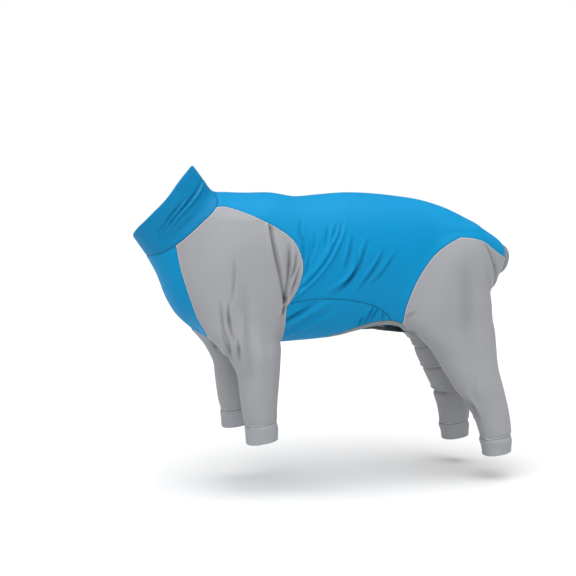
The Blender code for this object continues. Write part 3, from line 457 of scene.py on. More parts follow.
def leg_distance(points, rows):
    """Distance from a leg, whose sections lie flat."""
    x, y, z = points.T
    falling = -rows[:, 0]
    row = [np.interp(-z, falling, rows[:, k]) for k in range(1, 5)]
    side = round_distance(x - row[0], y - row[1], row[2], row[3])
    return join_ends(side, np.maximum(z - rows[0, 0], rows[-1, 0] - z))


def swell_height(points):
    """How far the rounded swells lift the cloth."""
    x, y, z = points.T
    height = np.zeros(len(points))
    for mid_x, mid_y, mid_z, rise, reach in SWELLS:
        away = ((x - mid_x * BACK_LENGTH) ** 2 + (y - mid_y * CHEST_WIDTH / 2) ** 2
                + (z - mid_z * CHEST_DEPTH) ** 2)
        height += rise * SWELL_DEPTH * np.exp(-away / (reach * BACK_LENGTH) ** 2)
    return height


def skin_distance(points, trunk, legs):
    """Distance from the smooth form: the trunk and the legs run into each other."""
    distance = trunk_distance(points, trunk)
    for rows in legs:
        other = leg_distance(points, rows)
        share = np.clip(0.5 + 0.5 * (other - distance) / BLEND, 0, 1)
        distance = other + (distance - other) * share - BLEND * share * (1 - share)
    return distance - swell_height(points)


def slope_of(points, trunk, legs, step=0.0004, block=16000):
    """The distance from the smooth form and its slope at each point."""
    distances, slopes = [], []
    for first in range(0, len(points), block):
        some = points[first:first + block]
        distance = skin_distance(some, trunk, legs)
        slope = np.empty_like(some)
        for axis in range(3):
            moved = some.copy()
            moved[:, axis] += step
            slope[:, axis] = (skin_distance(moved, trunk, legs) - distance) / step
        distances.append(distance)
        slopes.append(slope)
    return np.concatenate(distances), np.concatenate(slopes)


def settle(points, trunk, legs, rounds):
    """Move points along the slope onto the smooth form, and give each one its outward direction."""
    for _ in range(rounds):
        distance, slope = slope_of(points, trunk, legs)
        steep = np.maximum((slope ** 2).sum(axis=1), 0.25)
        move = np.clip(distance / steep, -GRAIN, GRAIN)
        points = points - move[:, None] * slope
    return points, slope / np.maximum(np.linalg.norm(slope, axis=1), 1e-9)[:, None]


def loft(mesh, rings):
    """Bridge rings of equally many points and close both ends."""
    rows = [[mesh.verts.new(point) for point in ring] for ring in rings]
    sides = len(rows[0])
    for near, far in zip(rows, rows[1:]):
        for k in range(sides):
            mesh.faces.new((near[k], near[(k + 1) % sides], far[(k + 1) % sides], far[k]))
    mesh.faces.new(rows[0][::-1])
    mesh.faces.new(rows[-1])


def oval(turn, half_across, half_up):
    """A point of a rounded outline."""
    power = 2 / FULLNESS
    across, up = math.cos(turn), math.sin(turn)
    return (math.copysign(abs(across) ** power, across) * half_across,
            math.copysign(abs(up) ** power, up) * half_up)


def body_rings(trunk):
    """Rings of points around the trunk."""
    rings = []
    for top_x, top_z, bottom_x, bottom_z, half_width in trunk[::ROW_STEPS // 2]:
        half_depth = math.hypot(top_x - bottom_x, top_z - bottom_z) / 2
        ring = []
        for turn in RING_TURNS:
            across, up = oval(turn, half_width, half_depth)
            share = 0.5 + 0.5 * up / half_depth
            x, z = bottom_x + share * (top_x - bottom_x), bottom_z + share * (top_z - bottom_z)
            ring.append((x, across, z))
        rings.append(ring)
    return rings


def leg_rings(rows):
    """Rings of points around a leg."""
    rings = []
    for height, middle_x, middle_y, half_length, half_across in rows[::ROW_STEPS // 2]:
        ovals = [oval(turn, half_length, half_across) for turn in RING_TURNS]
        rings.append([(middle_x + along, middle_y + across, height) for along, across in ovals])
    return rings


def points_of(mesh):
    """A mesh's points as an array."""
    points = np.empty(len(mesh.vertices) * 3)
    mesh.vertices.foreach_get("co", points)
    return points.reshape(-1, 3)


def with_modifier(mesh, kind, **values):
    """The mesh that one modifier makes of this one."""
    item = bpy.data.objects.new("work", mesh)
    bpy.context.scene.collection.objects.link(item)
    modifier = item.modifiers.new(kind, kind)
    for key, value in values.items():
        setattr(modifier, key, value)
    graph = bpy.context.evaluated_depsgraph_get()
    made = bpy.data.meshes.new_from_object(item.evaluated_get(graph))
    bpy.data.objects.remove(item)
    bpy.data.meshes.remove(mesh)
    return made


def make_skin():
    """The whole suit as one closed fine surface: its points, their outward directions, its triangles."""
    trunk, legs = trunk_rows(), all_legs()
    shape = bmesh.new()
    loft(shape, body_rings(trunk))
    for rows in legs:
        loft(shape, leg_rings(rows))
    bmesh.ops.recalc_face_normals(shape, faces=shape.faces)
    mesh = bpy.data.meshes.new("skin")
    shape.to_mesh(mesh)
    shape.free()
    mesh = with_modifier(mesh, "REMESH", mode="VOXEL", voxel_size=GRAIN)
    points, _ = settle(points_of(mesh), trunk, legs, 5)
    mesh.vertices.foreach_set("co", points.ravel())
    mesh = with_modifier(mesh, "SUBSURF", levels=1, render_levels=1)
    points, outward = settle(points_of(mesh), trunk, legs, 2)
    mesh.vertices.foreach_set("co", points.ravel())
    mesh.calc_loop_triangles()
    faces = np.empty(len(mesh.loop_triangles) * 3, dtype=np.int64)
    mesh.loop_triangles.foreach_get("vertices", faces)
    bpy.data.meshes.remove(mesh)
    return {"points": points, "outward": outward, "faces": faces.reshape(-1, 3),
            "labels": np.full(len(faces) // 3, REST), "legs": legs, "trunk": trunk}


def edge_keys(first, second, count):
    """One number for each pair of point numbers, whichever comes first."""
    return np.minimum(first, second) * count + np.maximum(first, second)


def split(cloth, values, wanted=None, label=None, snap=0.18):
    """Cut triangles along the line where the values change sign. With a label, the wanted triangles on the
    side below 0 get it. Points very near the line move onto it, so that no splinters are left."""
    points, faces = cloth["points"], cloth["faces"]
    chosen = np.ones(len(faces), bool) if wanted is None else cloth["labels"] == wanted
    values = values.copy()
    pairs = np.concatenate((faces[chosen][:, (0, 1)], faces[chosen][:, (1, 2)], faces[chosen][:, (2, 0)]))
    for one, other in ((pairs[:, 0], pairs[:, 1]), (pairs[:, 1], pairs[:, 0])):
        crossing = values[one] * values[other] < 0
        one, other = one[crossing], other[crossing]
        share = values[one] / (values[one] - values[other])
        close = share < snap
        one, other, share = one[close], other[close], share[close]
        one, order = np.unique(one, return_index=True)
        points[one] += share[order][:, None] * (points[other[order]] - points[one])
        values[one] = 0
    crossing = values[pairs[:, 0]] * values[pairs[:, 1]] < 0
    count = len(points)
    keys, order = np.unique(edge_keys(pairs[crossing, 0], pairs[crossing, 1], count), return_index=True)
    first, second = pairs[crossing][order].T
    share = (values[first] / (values[first] - values[second]))[:, None]
    for name in ("points", "outward"):
        field = cloth[name]
        cloth[name] = np.vstack((field, field[first] + share * (field[second] - field[first])))
    values = np.concatenate((values, np.zeros(len(keys))))

    def new_on(one, other):
        key = edge_keys(one, other, count)
        place = np.minimum(np.searchsorted(keys, key), max(len(keys) - 1, 0))
        found = keys[place] == key if len(keys) else np.zeros(len(key), bool)
        return np.where(found, count + place, -1)

    new = np.stack([new_on(faces[:, k], faces[:, (k + 1) % 3]) for k in range(3)], axis=1)
    number = (new >= 0).sum(axis=1)
    made, source = [faces[number == 0]], [np.flatnonzero(number == 0)]
    for k in range(3):
        a, b, c = faces[:, k], faces[:, (k + 1) % 3], faces[:, (k + 2) % 3]
        on_ab, on_ca = new[:, k], new[:, (k + 2) % 3]
        here = np.flatnonzero((number == 1) & (on_ab >= 0))
        made += [np.stack((a, on_ab, c), axis=1)[here], np.stack((on_ab, b, c), axis=1)[here]]
        source += [here, here]
        here = np.flatnonzero((number == 2) & (on_ab >= 0) & (on_ca >= 0))
        made += [np.stack((a, on_ab, on_ca), axis=1)[here], np.stack((on_ab, b, c), axis=1)[here],
                 np.stack((on_ab, c, on_ca), axis=1)[here]]
        source += [here, here, here]
    source = np.concatenate(source)
    cloth["faces"] = np.concatenate(made)
    cloth["labels"] = cloth["labels"][source]
    if label is not None:
        below = values[cloth["faces"]].sum(axis=1) < 0
        cloth["labels"][chosen[source] & below] = label


def outline_distance(across, up, outline):
    """Distance from a closed outline, below 0 inside."""
    corners = np.array(outline)
    nearest = np.full(len(across), 1e9)
    inside = np.zeros(len(across), bool)
    for (x1, z1), (x2, z2) in zip(corners, np.roll(corners, -1, axis=0)):
        run_x, run_z = x2 - x1, z2 - z1
        squared = max(run_x ** 2 + run_z ** 2, 1e-12)
        along = np.clip(((across - x1) * run_x + (up - z1) * run_z) / squared, 0, 1)
        nearest = np.minimum(nearest, np.hypot(across - x1 - along * run_x, up - z1 - along * run_z))
        if z1 != z2:
            over = (z1 > up) != (z2 > up)
            inside ^= over & (across < x1 + (up - z1) / (z2 - z1) * run_x)
    return np.where(inside, -nearest, nearest)


def placed(outline):
    """An outline's points in metres."""
    return [(x * BACK_LENGTH, z * CHEST_DEPTH) for x, z in outline]


def rounded(outline):
    """An outline's points in metres, on a smooth curve through them."""
    return [tuple(point) for point in smooth_rows(placed(outline), 4)]


def opening_distance(points):
    """Distance from the space of the belly opening, below 0 inside."""
    sizes = (BACK_LENGTH, CHEST_WIDTH, CHEST_DEPTH, CHEST_WIDTH, CHEST_DEPTH, CHEST_DEPTH)
    rows = smooth_rows(np.array(BELLY_OPENING) * sizes, 2)
    x, y, z = points.T
    left_y, left_z, right_y, right_z, floor = [np.interp(x, rows[:, 0], rows[:, k]) for k in range(1, 6)]
    roof_slope = (right_z - left_z) / (right_y - left_y)
    above = (z - left_z - roof_slope * (y - left_y)) / np.hypot(1, roof_slope)
    limits = (above, left_y - y, y - right_y, floor - z, rows[0, 0] - x, x - rows[-1, 0])
    return np.max(limits, axis=0)


def tail_axis(trunk):
    """The rump's end and the way out of it."""
    top_x, top_z, bottom_x, bottom_z, _ = trunk[-1]
    middle = np.array(((top_x + bottom_x) / 2, 0, (top_z + bottom_z) / 2))
    along = np.array((bottom_z - top_z, 0, top_x - bottom_x))
    return middle, along / -np.linalg.norm(along)


def tail_distance(points, trunk):
    """Distance from the rod along the tail that makes the tail hole."""
    middle, along = tail_axis(trunk)
    away = points - middle
    ahead = away @ along
    across = np.linalg.norm(away - ahead[:, None] * along, axis=1)
    return np.maximum(across - TAIL_HOLE_WIDTH / 2, -ahead - BACK_LENGTH / 12)


def leg_slab(rows, drop, low, high):
    """Side outline of the slab between two heights above a cuff's lower edge, which rises to the rear."""
    end = -CHEST_DEPTH - drop
    middle = rows[-1, 1]
    reach = (SLEEVE_WIDTH + THIGH_WIDTH) / 4
    rise = reach * CUFF_SLOPE
    return [(middle - reach, end + low - rise), (middle + reach, end + low + rise),
            (middle + reach, end + high + rise), (middle - reach, end + high - rise)]


def from_edge(cloth, label, width):
    """Distance from the edge of the triangles with a label, less a width."""
    inside = np.zeros(len(cloth["points"]), bool)
    inside[cloth["faces"][cloth["labels"] == label].ravel()] = True
    outside = np.zeros(len(cloth["points"]), bool)
    outside[cloth["faces"][cloth["labels"] == REST].ravel()] = True
    edge = cloth["points"][inside & outside]
    tree = tree_of(edge)
    low, high = edge.min(axis=0) - 2 * width, edge.max(axis=0) + 2 * width
    near = np.flatnonzero(((cloth["points"] > low) & (cloth["points"] < high)).all(axis=1))
    distance = np.full(len(cloth["points"]), 1.0)
    for k in near:
        distance[k] = tree.find(cloth["points"][k])[2]
    return distance - width


def tree_of(points):
    tree = KDTree(len(points))
    for k, point in enumerate(points):
        tree.insert(point, k)
    tree.balance()
    return tree


def cut_panels(cloth):
    """Cut the suit's openings and all its seams, as part of one surface."""
    trunk, legs = cloth["trunk"], cloth["legs"]
    number = {name: k for k, name in enumerate(PANEL_NAMES)}
    floor = -CHEST_DEPTH - HIND_LEG_DROP - 3 * TRIM

    def side_view(outline):
        return outline_distance(cloth["points"][:, 0], cloth["points"][:, 2], outline)

    rim = rounded(COLLAR_RIM)
    above_rim = rim + [(-BACK_LENGTH, rim[-1][1]), (-BACK_LENGTH, CHEST_DEPTH), (rim[0][0], CHEST_DEPTH)]
    lean = RIM_LEAN * np.clip(-cloth["points"][:, 1] / RIM_HALF_WIDTH, -1, 1)
    split(cloth, side_view(above_rim) + lean, REST, REMOVED)
    split(cloth, opening_distance(cloth["points"]), REST, OPENING)
    split(cloth, tail_distance(cloth["points"], trunk), REST, TAIL_HOLE)
    heights = 2 * ((FRONT_LEG_DROP, FRONT_CUFF_HEIGHT), (HIND_LEG_DROP, HIND_CUFF_HEIGHT))
    for rows, (drop, cuff_height) in zip(legs, heights):
        side = math.copysign(1, rows[0, 2])
        below = side_view(leg_slab(rows, drop, -2 * cuff_height, 0))
        split(cloth, np.maximum(below, -side * cloth["points"][:, 1]), REST, REMOVED)

    split(cloth, tail_distance(cloth["points"], trunk) - TAIL_BINDING_WIDTH, REST, number["tail_binding"])
    split(cloth, from_edge(cloth, OPENING, BINDING_WIDTH), REST, number["belly_binding"])
    collar = rounded(COLLAR_SEAM) + [(-BACK_LENGTH, -CHEST_DEPTH / 2), (-BACK_LENGTH, CHEST_DEPTH),
                                     (COLLAR_SEAM[0][0] * BACK_LENGTH, CHEST_DEPTH)]
    split(cloth, side_view(collar), REST, number["collar"])
    names = ("front_cuff_left", "hind_cuff_left", "front_cuff_right", "hind_cuff_right")
    for rows, name, (drop, cuff_height) in zip(legs, names, heights):
        side = math.copysign(1, rows[0, 2])
        slab = side_view(leg_slab(rows, drop, -cuff_height, cuff_height))
        split(cloth, np.maximum(slab, -side * cloth["points"][:, 1]), REST, number[name])

    top_seam = rounded(SLEEVE_TOP_SEAM)
    armpit = top_seam[-1]
    front_seam = rounded(SLEEVE_FRONT_SEAM)
    sleeve = top_seam + [(armpit[0], -CHEST_DEPTH), (BACK_LENGTH / 6, -CHEST_DEPTH - FRONT_LEG_DROP / 3),
                         (BACK_LENGTH / 6, floor), (-BACK_LENGTH / 4, floor),
                         (-BACK_LENGTH / 4, -CHEST_DEPTH - TRIM)] + front_seam
    sleeve += [(front_seam[-1][0] - 2 * TRIM, armpit[1] / 3)]
    strip = [(x * BACK_LENGTH, half * BELLY_STRIP_WIDTH) for x, half in BELLY_STRIP]
    strip = strip + [(x, -across) for x, across in reversed(strip)]
    thigh = rounded(THIGH_SEAM) + [(BACK_LENGTH, THIGH_SEAM[-1][1] * CHEST_DEPTH), (BACK_LENGTH, floor),
                                   (THIGH_SEAM[0][0] * BACK_LENGTH, floor)]
    for side, word in ((-1, "left"), (1, "right")):
        x, y, z = cloth["points"].T
        between = np.maximum(outline_distance(x, y, strip), z + 0.75 * CHEST_DEPTH)
        here = np.max((side_view(sleeve), -side * y, -between), axis=0)
        split(cloth, here, REST, number["front_sleeve_" + word])
        back_by = HIND_STRIDE / 2 * (side + 1)
        moved = [(x + back_by, z) for x, z in thigh]
        here = np.maximum(side_view(moved), -side * cloth["points"][:, 1])
        split(cloth, here, REST, number["hind_leg_" + word])

    flank = rounded(FLANK_SEAM)
    back = flank + [(BACK_LENGTH, flank[-1][1]), (BACK_LENGTH, CHEST_DEPTH), (-BACK_LENGTH, CHEST_DEPTH)]
    back += placed(UNDER_SLEEVE)
    split(cloth, side_view(back), REST, number["back_panel"])
    cloth["labels"][cloth["labels"] == REST] = number["belly_panel"]


def take_panel(cloth, name):
    """One panel's own points and triangles, with its free edges and its seams as rows of points."""
    label = PANEL_NAMES.index(name)
    own = cloth["labels"] == label
    faces = cloth["faces"][own]
    count = len(cloth["points"])
    pairs = np.concatenate([faces[:, (k, (k + 1) % 3)] for k in range(3)])
    keys, first, times = np.unique(edge_keys(pairs[:, 0], pairs[:, 1], count),
                                   return_index=True, return_counts=True)
    rim, rim_keys = pairs[first[times == 1]], keys[times == 1]
    gone = cloth["faces"][cloth["labels"] < 0]
    gone_keys = [edge_keys(gone[:, k], gone[:, (k + 1) % 3], count) for k in range(3)]
    free = np.isin(rim_keys, np.unique(np.concatenate(gone_keys)))
    used, faces = np.unique(faces, return_inverse=True)
    dense = []
    for flags in (free, ~free):
        ends = cloth["points"][rim[flags]]
        rows = [ends[:, 0] + share * (ends[:, 1] - ends[:, 0]) for share in np.arange(0, 1, 0.125)]
        dense.append(np.vstack(rows))
    return {"points": cloth["points"][used], "outward": cloth["outward"][used], "faces": faces.reshape(-1, 3),
            "labels": np.zeros(len(faces.reshape(-1, 3)), int), "free": dense[0], "seams": dense[1]}


def away_from(panel, which):
    """Distance of each point from the panel's free edges or its seams, in millimetres."""
    edge = panel[which]
    if not len(edge):
        return np.full(len(panel["points"]), 1000.0)
    tree = tree_of(edge)
    return np.array([tree.find(point)[2] for point in panel["points"]]) / MM


def fold_family(name):
    """The word that the fold table uses for a panel."""
    families = (("collar", "collar"), ("back", "body"), ("belly_panel", "belly"), ("front_sleeve", "sleeve"),
                ("hind_leg", "hind"))
    return next((word for start, word in families if name.startswith(start)), "none")


def fold_height(points, family):
    """How far the folds lift a panel's cloth, in millimetres."""
    x, y, z = points.T / MM
    height = np.zeros(len(points))
    for rise, width, shoulder, start, end, left, right, line in FOLDS.get(family, ()):
        width = FOLD_WIDTH[family] * width
        line = smooth_rows(line, 4)
        low, high = line.min(axis=0) - 4 * width, line.max(axis=0) + 4 * width
        near = np.flatnonzero((x > low[0]) & (x < high[0]) & (z > low[1]) & (z < high[1]))
        if not len(near):
            continue
        runs = np.diff(line, axis=0)
        lengths = np.linalg.norm(runs, axis=1)
        passed = np.concatenate(((0,), np.cumsum(lengths)))
        best = np.full(len(near), 1e9)
        signed = np.zeros(len(near))
        along = np.zeros(len(near))
        for (x1, z1), (run_x, run_z), length, before in zip(line, runs, lengths, passed):
            share = np.clip(((x[near] - x1) * run_x + (z[near] - z1) * run_z) / length ** 2, 0, 1)
            gap_x, gap_z = x[near] - x1 - share * run_x, z[near] - z1 - share * run_z
            gap = np.hypot(gap_x, gap_z)
            closer = gap < best
            best[closer] = gap[closer]
            signed[closer] = (np.sign(run_x * gap_z - run_z * gap_x) * gap)[closer]
            along[closer] = ((before + share * length) / passed[-1])[closer]
        fade = np.where(along < 0.5, start + (1 - start) * np.sin(np.pi * np.clip(along, 0, 0.5)),
                        end + (1 - end) * np.sin(np.pi * np.clip(along, 0.5, 1)))
        beside = signed - np.sign(shoulder) * SHOULDER_GAP * width
        profile = np.exp(-(signed / width) ** 2) - abs(shoulder) * np.exp(-(beside / width) ** 2)
        strength = np.where(y[near] < 0, left, right) * np.clip(np.abs(y[near]) / MIDDLE_FADE, 0, 1)
        height[near] += rise * fade * strength * profile
    return height


def ease(value, low, high):
    """0 at low, 1 at high, and smooth between."""
    share = np.clip((value - low) / (high - low), 0, 1)
    return share * share * (3 - 2 * share)


def bulge(distance, reach):
    """A quarter round: 0 at the edge and 1 from the reach on."""
    return np.sqrt(1 - (1 - np.clip(distance / reach, 0, 1)) ** 2)


def puckers(points, legs, from_seam):
    """Small gathers of a leg's cloth above its cuff, in millimetres."""
    height = np.zeros(len(points))
    for k, rows in enumerate(legs):
        x, y, z = points.T
        middle_x, middle_y = rows[-1, 1], rows[-1, 2]
        near = (np.hypot(x - middle_x, y - middle_y) < LEG_REACH) & (z < rows[-1, 0] + LEG_HEIGHT)
        turn = np.arctan2(y - middle_y, x - middle_x)
        ripple = np.sin(11 * turn + k) + 0.7 * np.sin(17 * turn + 2.1 * k + 1.3) + 0.5 * np.sin(26 * turn + k)
        height += (near * GATHER_DEPTH * ripple * np.exp(-from_seam / GATHER_REACH)
                   * bulge(from_seam, CUFF_DIP_REACH))
    return height


def new_object(name, mesh):
    made = bpy.data.objects.new(name, mesh)
    bpy.context.scene.collection.objects.link(made)
    return made


def mesh_from(name, points, faces):
    mesh = bpy.data.meshes.new(name)
    mesh.vertices.add(len(points))
    mesh.vertices.foreach_set("co", np.asarray(points, dtype=np.float32).ravel())
    mesh.loops.add(len(faces) * 3)
    mesh.loops.foreach_set("vertex_index", np.asarray(faces, dtype=np.int32).ravel())
    mesh.polygons.add(len(faces))
    mesh.polygons.foreach_set("loop_start", np.arange(0, 3 * len(faces), 3, dtype=np.int32))
    mesh.polygons.foreach_set("use_smooth", np.ones(len(faces), bool))
    mesh.update(calc_edges=True)
    return mesh


def shape_panel(cloth, panel, name, thickness, seam_rise, seam_reach, edge_round):
    """Lift and dip the panel's cloth: folds, seam, free edge, gathers."""
    for which in ("free", "seams"):
        for offset in SEAM_LOOPS:
            split(panel, away_from(panel, which) - offset)
    from_free, from_seam = away_from(panel, "free"), away_from(panel, "seams")
    points, outward = panel["points"], panel["outward"]
    family = fold_family(name)
    folds = (FOLD_DEPTH.get(family, 0) * fold_height(points, family)
             * ease(from_seam, -2.0, 6.0) * ease(from_free, -4.0, 6.0))
    height = folds + seam_rise * np.exp(-(from_seam / seam_reach) ** 2)
    height -= thickness / 2 * (1 - bulge(from_free, edge_round))
    if "cuff" in name or "binding" in name:
        height += HEM_RISE * bulge(from_seam, HEM_REACH) - thickness / 4
    if name.startswith(("front_sleeve", "hind_leg")):
        height += puckers(points, cloth["legs"], from_seam)
        low = points[:, 2] < -CHEST_DEPTH * LEG_START
        height -= low * CUFF_DIP * np.exp(-(from_seam / CUFF_DIP_REACH) ** 2)
    panel["from_seam"], panel["from_free"], panel["folds"] = from_seam, from_free, folds
    panel["shaped"] = points + (height * MM)[:, None] * outward
    if name == "tail_binding":
        _, out = tail_axis(cloth["trunk"])
        panel["shaped"] += TAIL_LIP * ease(from_seam, 0.0, TAIL_BINDING_WIDTH / MM)[:, None] * out


def pull_back(panel):
    """Draw the panel's rim in by the seam's gap."""
    faces, shaped = panel["faces"], panel["shaped"]
    count = len(shaped)
    inward = np.zeros((count, 3))
    distance = np.minimum(panel["from_seam"], panel["from_free"])
    for k in range(3):
        for one, other in ((faces[:, k], faces[:, (k + 1) % 3]), (faces[:, (k + 1) % 3], faces[:, k])):
            rise = np.maximum(distance[other] - distance[one], 0)
            np.add.at(inward, one, rise[:, None] * (shaped[other] - shaped[one]))
    rim = distance < 0.05
    length = np.maximum(np.linalg.norm(inward, axis=1), 1e-12)
    shaped[rim] += SEAM_GAP * (inward / length[:, None])[rim]


def seam_paths(panel, offset):
    """Runs of point numbers along the line at one distance from the panel's seams, in millimetres."""
    on = np.abs(panel["from_seam"] - offset) < 0.02
    faces = panel["faces"]
    pairs = np.concatenate([faces[:, (k, (k + 1) % 3)] for k in range(3)])
    pairs = np.unique(np.sort(pairs[on[pairs].all(axis=1)], axis=1), axis=0)
    nearby = {}
    for one, other in pairs.tolist():
        nearby.setdefault(one, []).append(other)
        nearby.setdefault(other, []).append(one)
    paths = []
    for start in sorted(nearby, key=lambda point: (len(nearby[point]) != 1, point)):
        path = [start]
        while nearby[path[-1]]:
            following = nearby[path[-1]].pop(0)
            nearby[following].remove(path[-1])
            path.append(following)
        if len(path) > 4:
            paths.append(path)
    return paths


def stitch_places(panel):
    """The middle, the direction and the outward direction of each stitch along the panel's seams."""
    middles, ways, outs = [], [], []
    for path in seam_paths(panel, SEAM_LOOPS[-1]):
        line, outward = panel["shaped"][path], panel["outward"][path]
        passed = np.concatenate(((0,), np.cumsum(np.linalg.norm(np.diff(line, axis=0), axis=1))))
        places = np.arange(STITCH_PITCH, passed[-1] - STITCH_PITCH / 2, STITCH_PITCH)
        if not len(places):
            continue

        def at(values, where):
            return np.stack([np.interp(where, passed, values[:, k]) for k in range(3)], axis=1)

        half = STITCH_LENGTH / 2
        middles.append(at(line, places))
        ways.append(at(line, places + half) - at(line, places - half))
        outs.append(at(outward, places))
    if not middles:
        return None
    return [np.concatenate(rows) for rows in (middles, ways, outs)]


def stitch_mesh(name, panel):
    """All of a panel's stitches as one mesh of small rounded rods."""
    found = stitch_places(panel)
    if found is None:
        return None
    middle, way, out = found
    way = way / np.maximum(np.linalg.norm(way, axis=1), 1e-12)[:, None]
    side = np.cross(way, out)
    side /= np.maximum(np.linalg.norm(side, axis=1), 1e-12)[:, None]
    out = np.cross(side, way)
    sides, rings = 6, ((-0.5, 0.4), (-0.36, 1.0), (0.36, 1.0), (0.5, 0.4))
    points = []
    for along, radius in rings:
        for k in range(sides):
            turn = 2 * math.pi * k / sides
            arm = STITCH_RADIUS * radius * (math.cos(turn) * side + math.sin(turn) * out)
            sink = STITCH_RADIUS * (1.0 if radius < 1 else 0.0) * out
            points.append(middle + along * STITCH_LENGTH * way + arm + 0.3 * STITCH_RADIUS * out - sink)
    points = np.stack(points, axis=1)
    faces = []
    for ring in range(len(rings) - 1):
        for k in range(sides):
            a, b = ring * sides + k, ring * sides + (k + 1) % sides
            faces += [(a, b, b + sides), (a, b + sides, a + sides)]
    last = (len(rings) - 1) * sides
    for k in range(1, sides - 1):
        faces += [(0, k + 1, k), (last, last + k, last + k + 1)]
    faces = np.array(faces)[None] + np.arange(len(middle))[:, None, None] * points.shape[1]
    return mesh_from(name, points.reshape(-1, 3), faces.reshape(-1, 3))


def make_stitches(name, panel, material):
    """The seam's stitches on a panel, as a piece of their own."""
    mesh = stitch_mesh(name + "_thread", panel)
    if mesh is None:
        return []
    mesh.materials.append(material)
    piece = new_object("stitches_" + name, mesh)
    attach(piece, "root")
    return [piece]


def make_panel(cloth, row, materials):
    name, thickness, seam_rise, seam_reach, edge_round, slot, colour = row
    panel = take_panel(cloth, name)
    shape_panel(cloth, panel, name, thickness, seam_rise, seam_reach, edge_round)
    pull_back(panel)
    mesh = mesh_from(name + "_cloth", panel["shaped"], panel["faces"])
    for word in ("from_seam", "from_free", "folds"):
        mesh.attributes.new(word, "FLOAT", "POINT").data.foreach_set("value", panel[word].astype(np.float32))
    mesh = with_modifier(mesh, "SOLIDIFY", thickness=thickness * MM, offset=-1, use_even_offset=False)
    mesh.polygons.foreach_set("use_smooth", np.ones(len(mesh.polygons), bool))
    mesh.materials.clear()
    mesh.materials.append(materials[colour])
    mesh.name = name + "_cloth"
    piece = new_object("cloth_" + name, mesh)
    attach(piece, "root")
    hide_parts(name)
    thread = make_stitches(name, panel, materials[colour + "_thread"])


def new_material(name):
    """A material, its node tree and its shader."""
    material = bpy.data.materials.new(name)
    material.use_nodes = True
    return material, material.node_tree, material.node_tree.nodes["Principled BSDF"]


def texture(tree, kind, **values):
    """A procedural texture on the object's own coordinates."""
    node = tree.nodes.new(kind)
    for key, value in values.items():
        node.inputs[key.replace("_", " ")].default_value = value
    tree.links.new(tree.nodes.new("ShaderNodeTexCoord").outputs["Object"], node.inputs["Vector"])
    return node


def noise(tree, scale, detail):
    return texture(tree, "ShaderNodeTexNoise", Scale=scale, Detail=detail).outputs["Fac"]


def wave(tree, direction, scale):
    node = texture(tree, "ShaderNodeTexWave", Scale=scale, Distortion=1.2, Detail_Scale=2.0)
    node.bands_direction = direction
    return node.outputs["Fac"]


def attribute(tree, name):
    node = tree.nodes.new("ShaderNodeAttribute")
    node.attribute_name = name
    return node.outputs["Fac"]


def maths(tree, operation, one, other):
    node = tree.nodes.new("ShaderNodeMath")
    node.operation = operation
    tree.links.new(one, node.inputs[0])
    tree.links.new(other, node.inputs[1])
    return node.outputs[0]


def ranged(tree, value, low, high, to_low, to_high):
    node = tree.nodes.new("ShaderNodeMapRange")
    for socket, number in zip(("From Min", "From Max", "To Min", "To Max"), (low, high, to_low, to_high)):
        node.inputs[socket].default_value = number
    tree.links.new(value, node.inputs["Value"])
    return node.outputs["Result"]


def paint(tree, shader, colour, tone):
    """The colour times a tone that varies over the surface."""
    tint = tree.nodes.new("ShaderNodeVectorMath")
    tint.operation = "SCALE"
    tint.inputs[0].default_value = colour
    tree.links.new(tone, tint.inputs["Scale"])
    tree.links.new(tint.outputs[0], shader.inputs["Base Color"])


def jersey(name, colour, gloss, sheen, seam_painted_light):
    """Stretch jersey: fine knit, soft sheen, uneven dye, painted shade darkening the creases, and a line
    along the seams that is a painted highlight where it is paler and painted shade where it is darker."""
    material, tree, shader = new_material(name)
    shader.inputs["Metallic"].default_value = 0.0
    shader.inputs["Specular IOR Level"].default_value = gloss
    shader.inputs["Sheen Weight"].default_value = sheen
    shader.inputs["Sheen Roughness"].default_value = 0.45
    shader.inputs["Sheen Tint"].default_value = (*[min(2 * c, 1) for c in colour], 1.0)
    tone = maths(tree, "MULTIPLY", ranged(tree, noise(tree, DYE_SCALE, 3.0), 0.3, 0.7, 0.965, 1.03),
                 ranged(tree, noise(tree, FLECK_SCALE, 2.0), 0.3, 0.7, 0.965, 1.03))
    # painted light along the seams: paler is a painted highlight on a raised seam edge, darker is painted
    # shade in a seam's groove
    line = ranged(tree, attribute(tree, "from_seam"), 0.6, 2.6, 1.0 + seam_painted_light, 1.0)
    tone = maths(tree, "MULTIPLY", tone, line)
    # painted shade: the cloth's colour darkens towards the bottom of a crease, fully at 6 mm deep
    crease_shade = ranged(tree, attribute(tree, "folds"), -6.0, 0.0, CREASE_SHADE_TONE, 1.0)
    tone = maths(tree, "MULTIPLY", tone, crease_shade)
    paint(tree, shader, colour, tone)
    roughness = ranged(tree, noise(tree, GLOSS_SCALE, 2.0), 0.3, 0.7, 0.50, 0.62)
    tree.links.new(roughness, shader.inputs["Roughness"])
    knit = maths(tree, "MULTIPLY", wave(tree, "X", COLUMN_SCALE), wave(tree, "Z", ROW_SCALE))
    weave = tree.nodes.new("ShaderNodeBump")
    weave.inputs["Strength"].default_value = 0.35
    weave.inputs["Distance"].default_value = KNIT_HEIGHT
    tree.links.new(maths(tree, "ADD", knit, noise(tree, FUZZ_SCALE, 2.0)), weave.inputs["Height"])
    tree.links.new(weave.outputs["Normal"], shader.inputs["Normal"])
    return material


def thread_finish(name, colour):
    """Sewing thread a little paler than its cloth, with a fine twist."""
    material, tree, shader = new_material(name)
    shader.inputs["Roughness"].default_value = 0.45
    twist = noise(tree, TWIST_SCALE, 2.0)
    paint(tree, shader, colour, ranged(tree, twist, 0.0, 1.0, THREAD_TONE - 0.15, THREAD_TONE + 0.15))
    return material


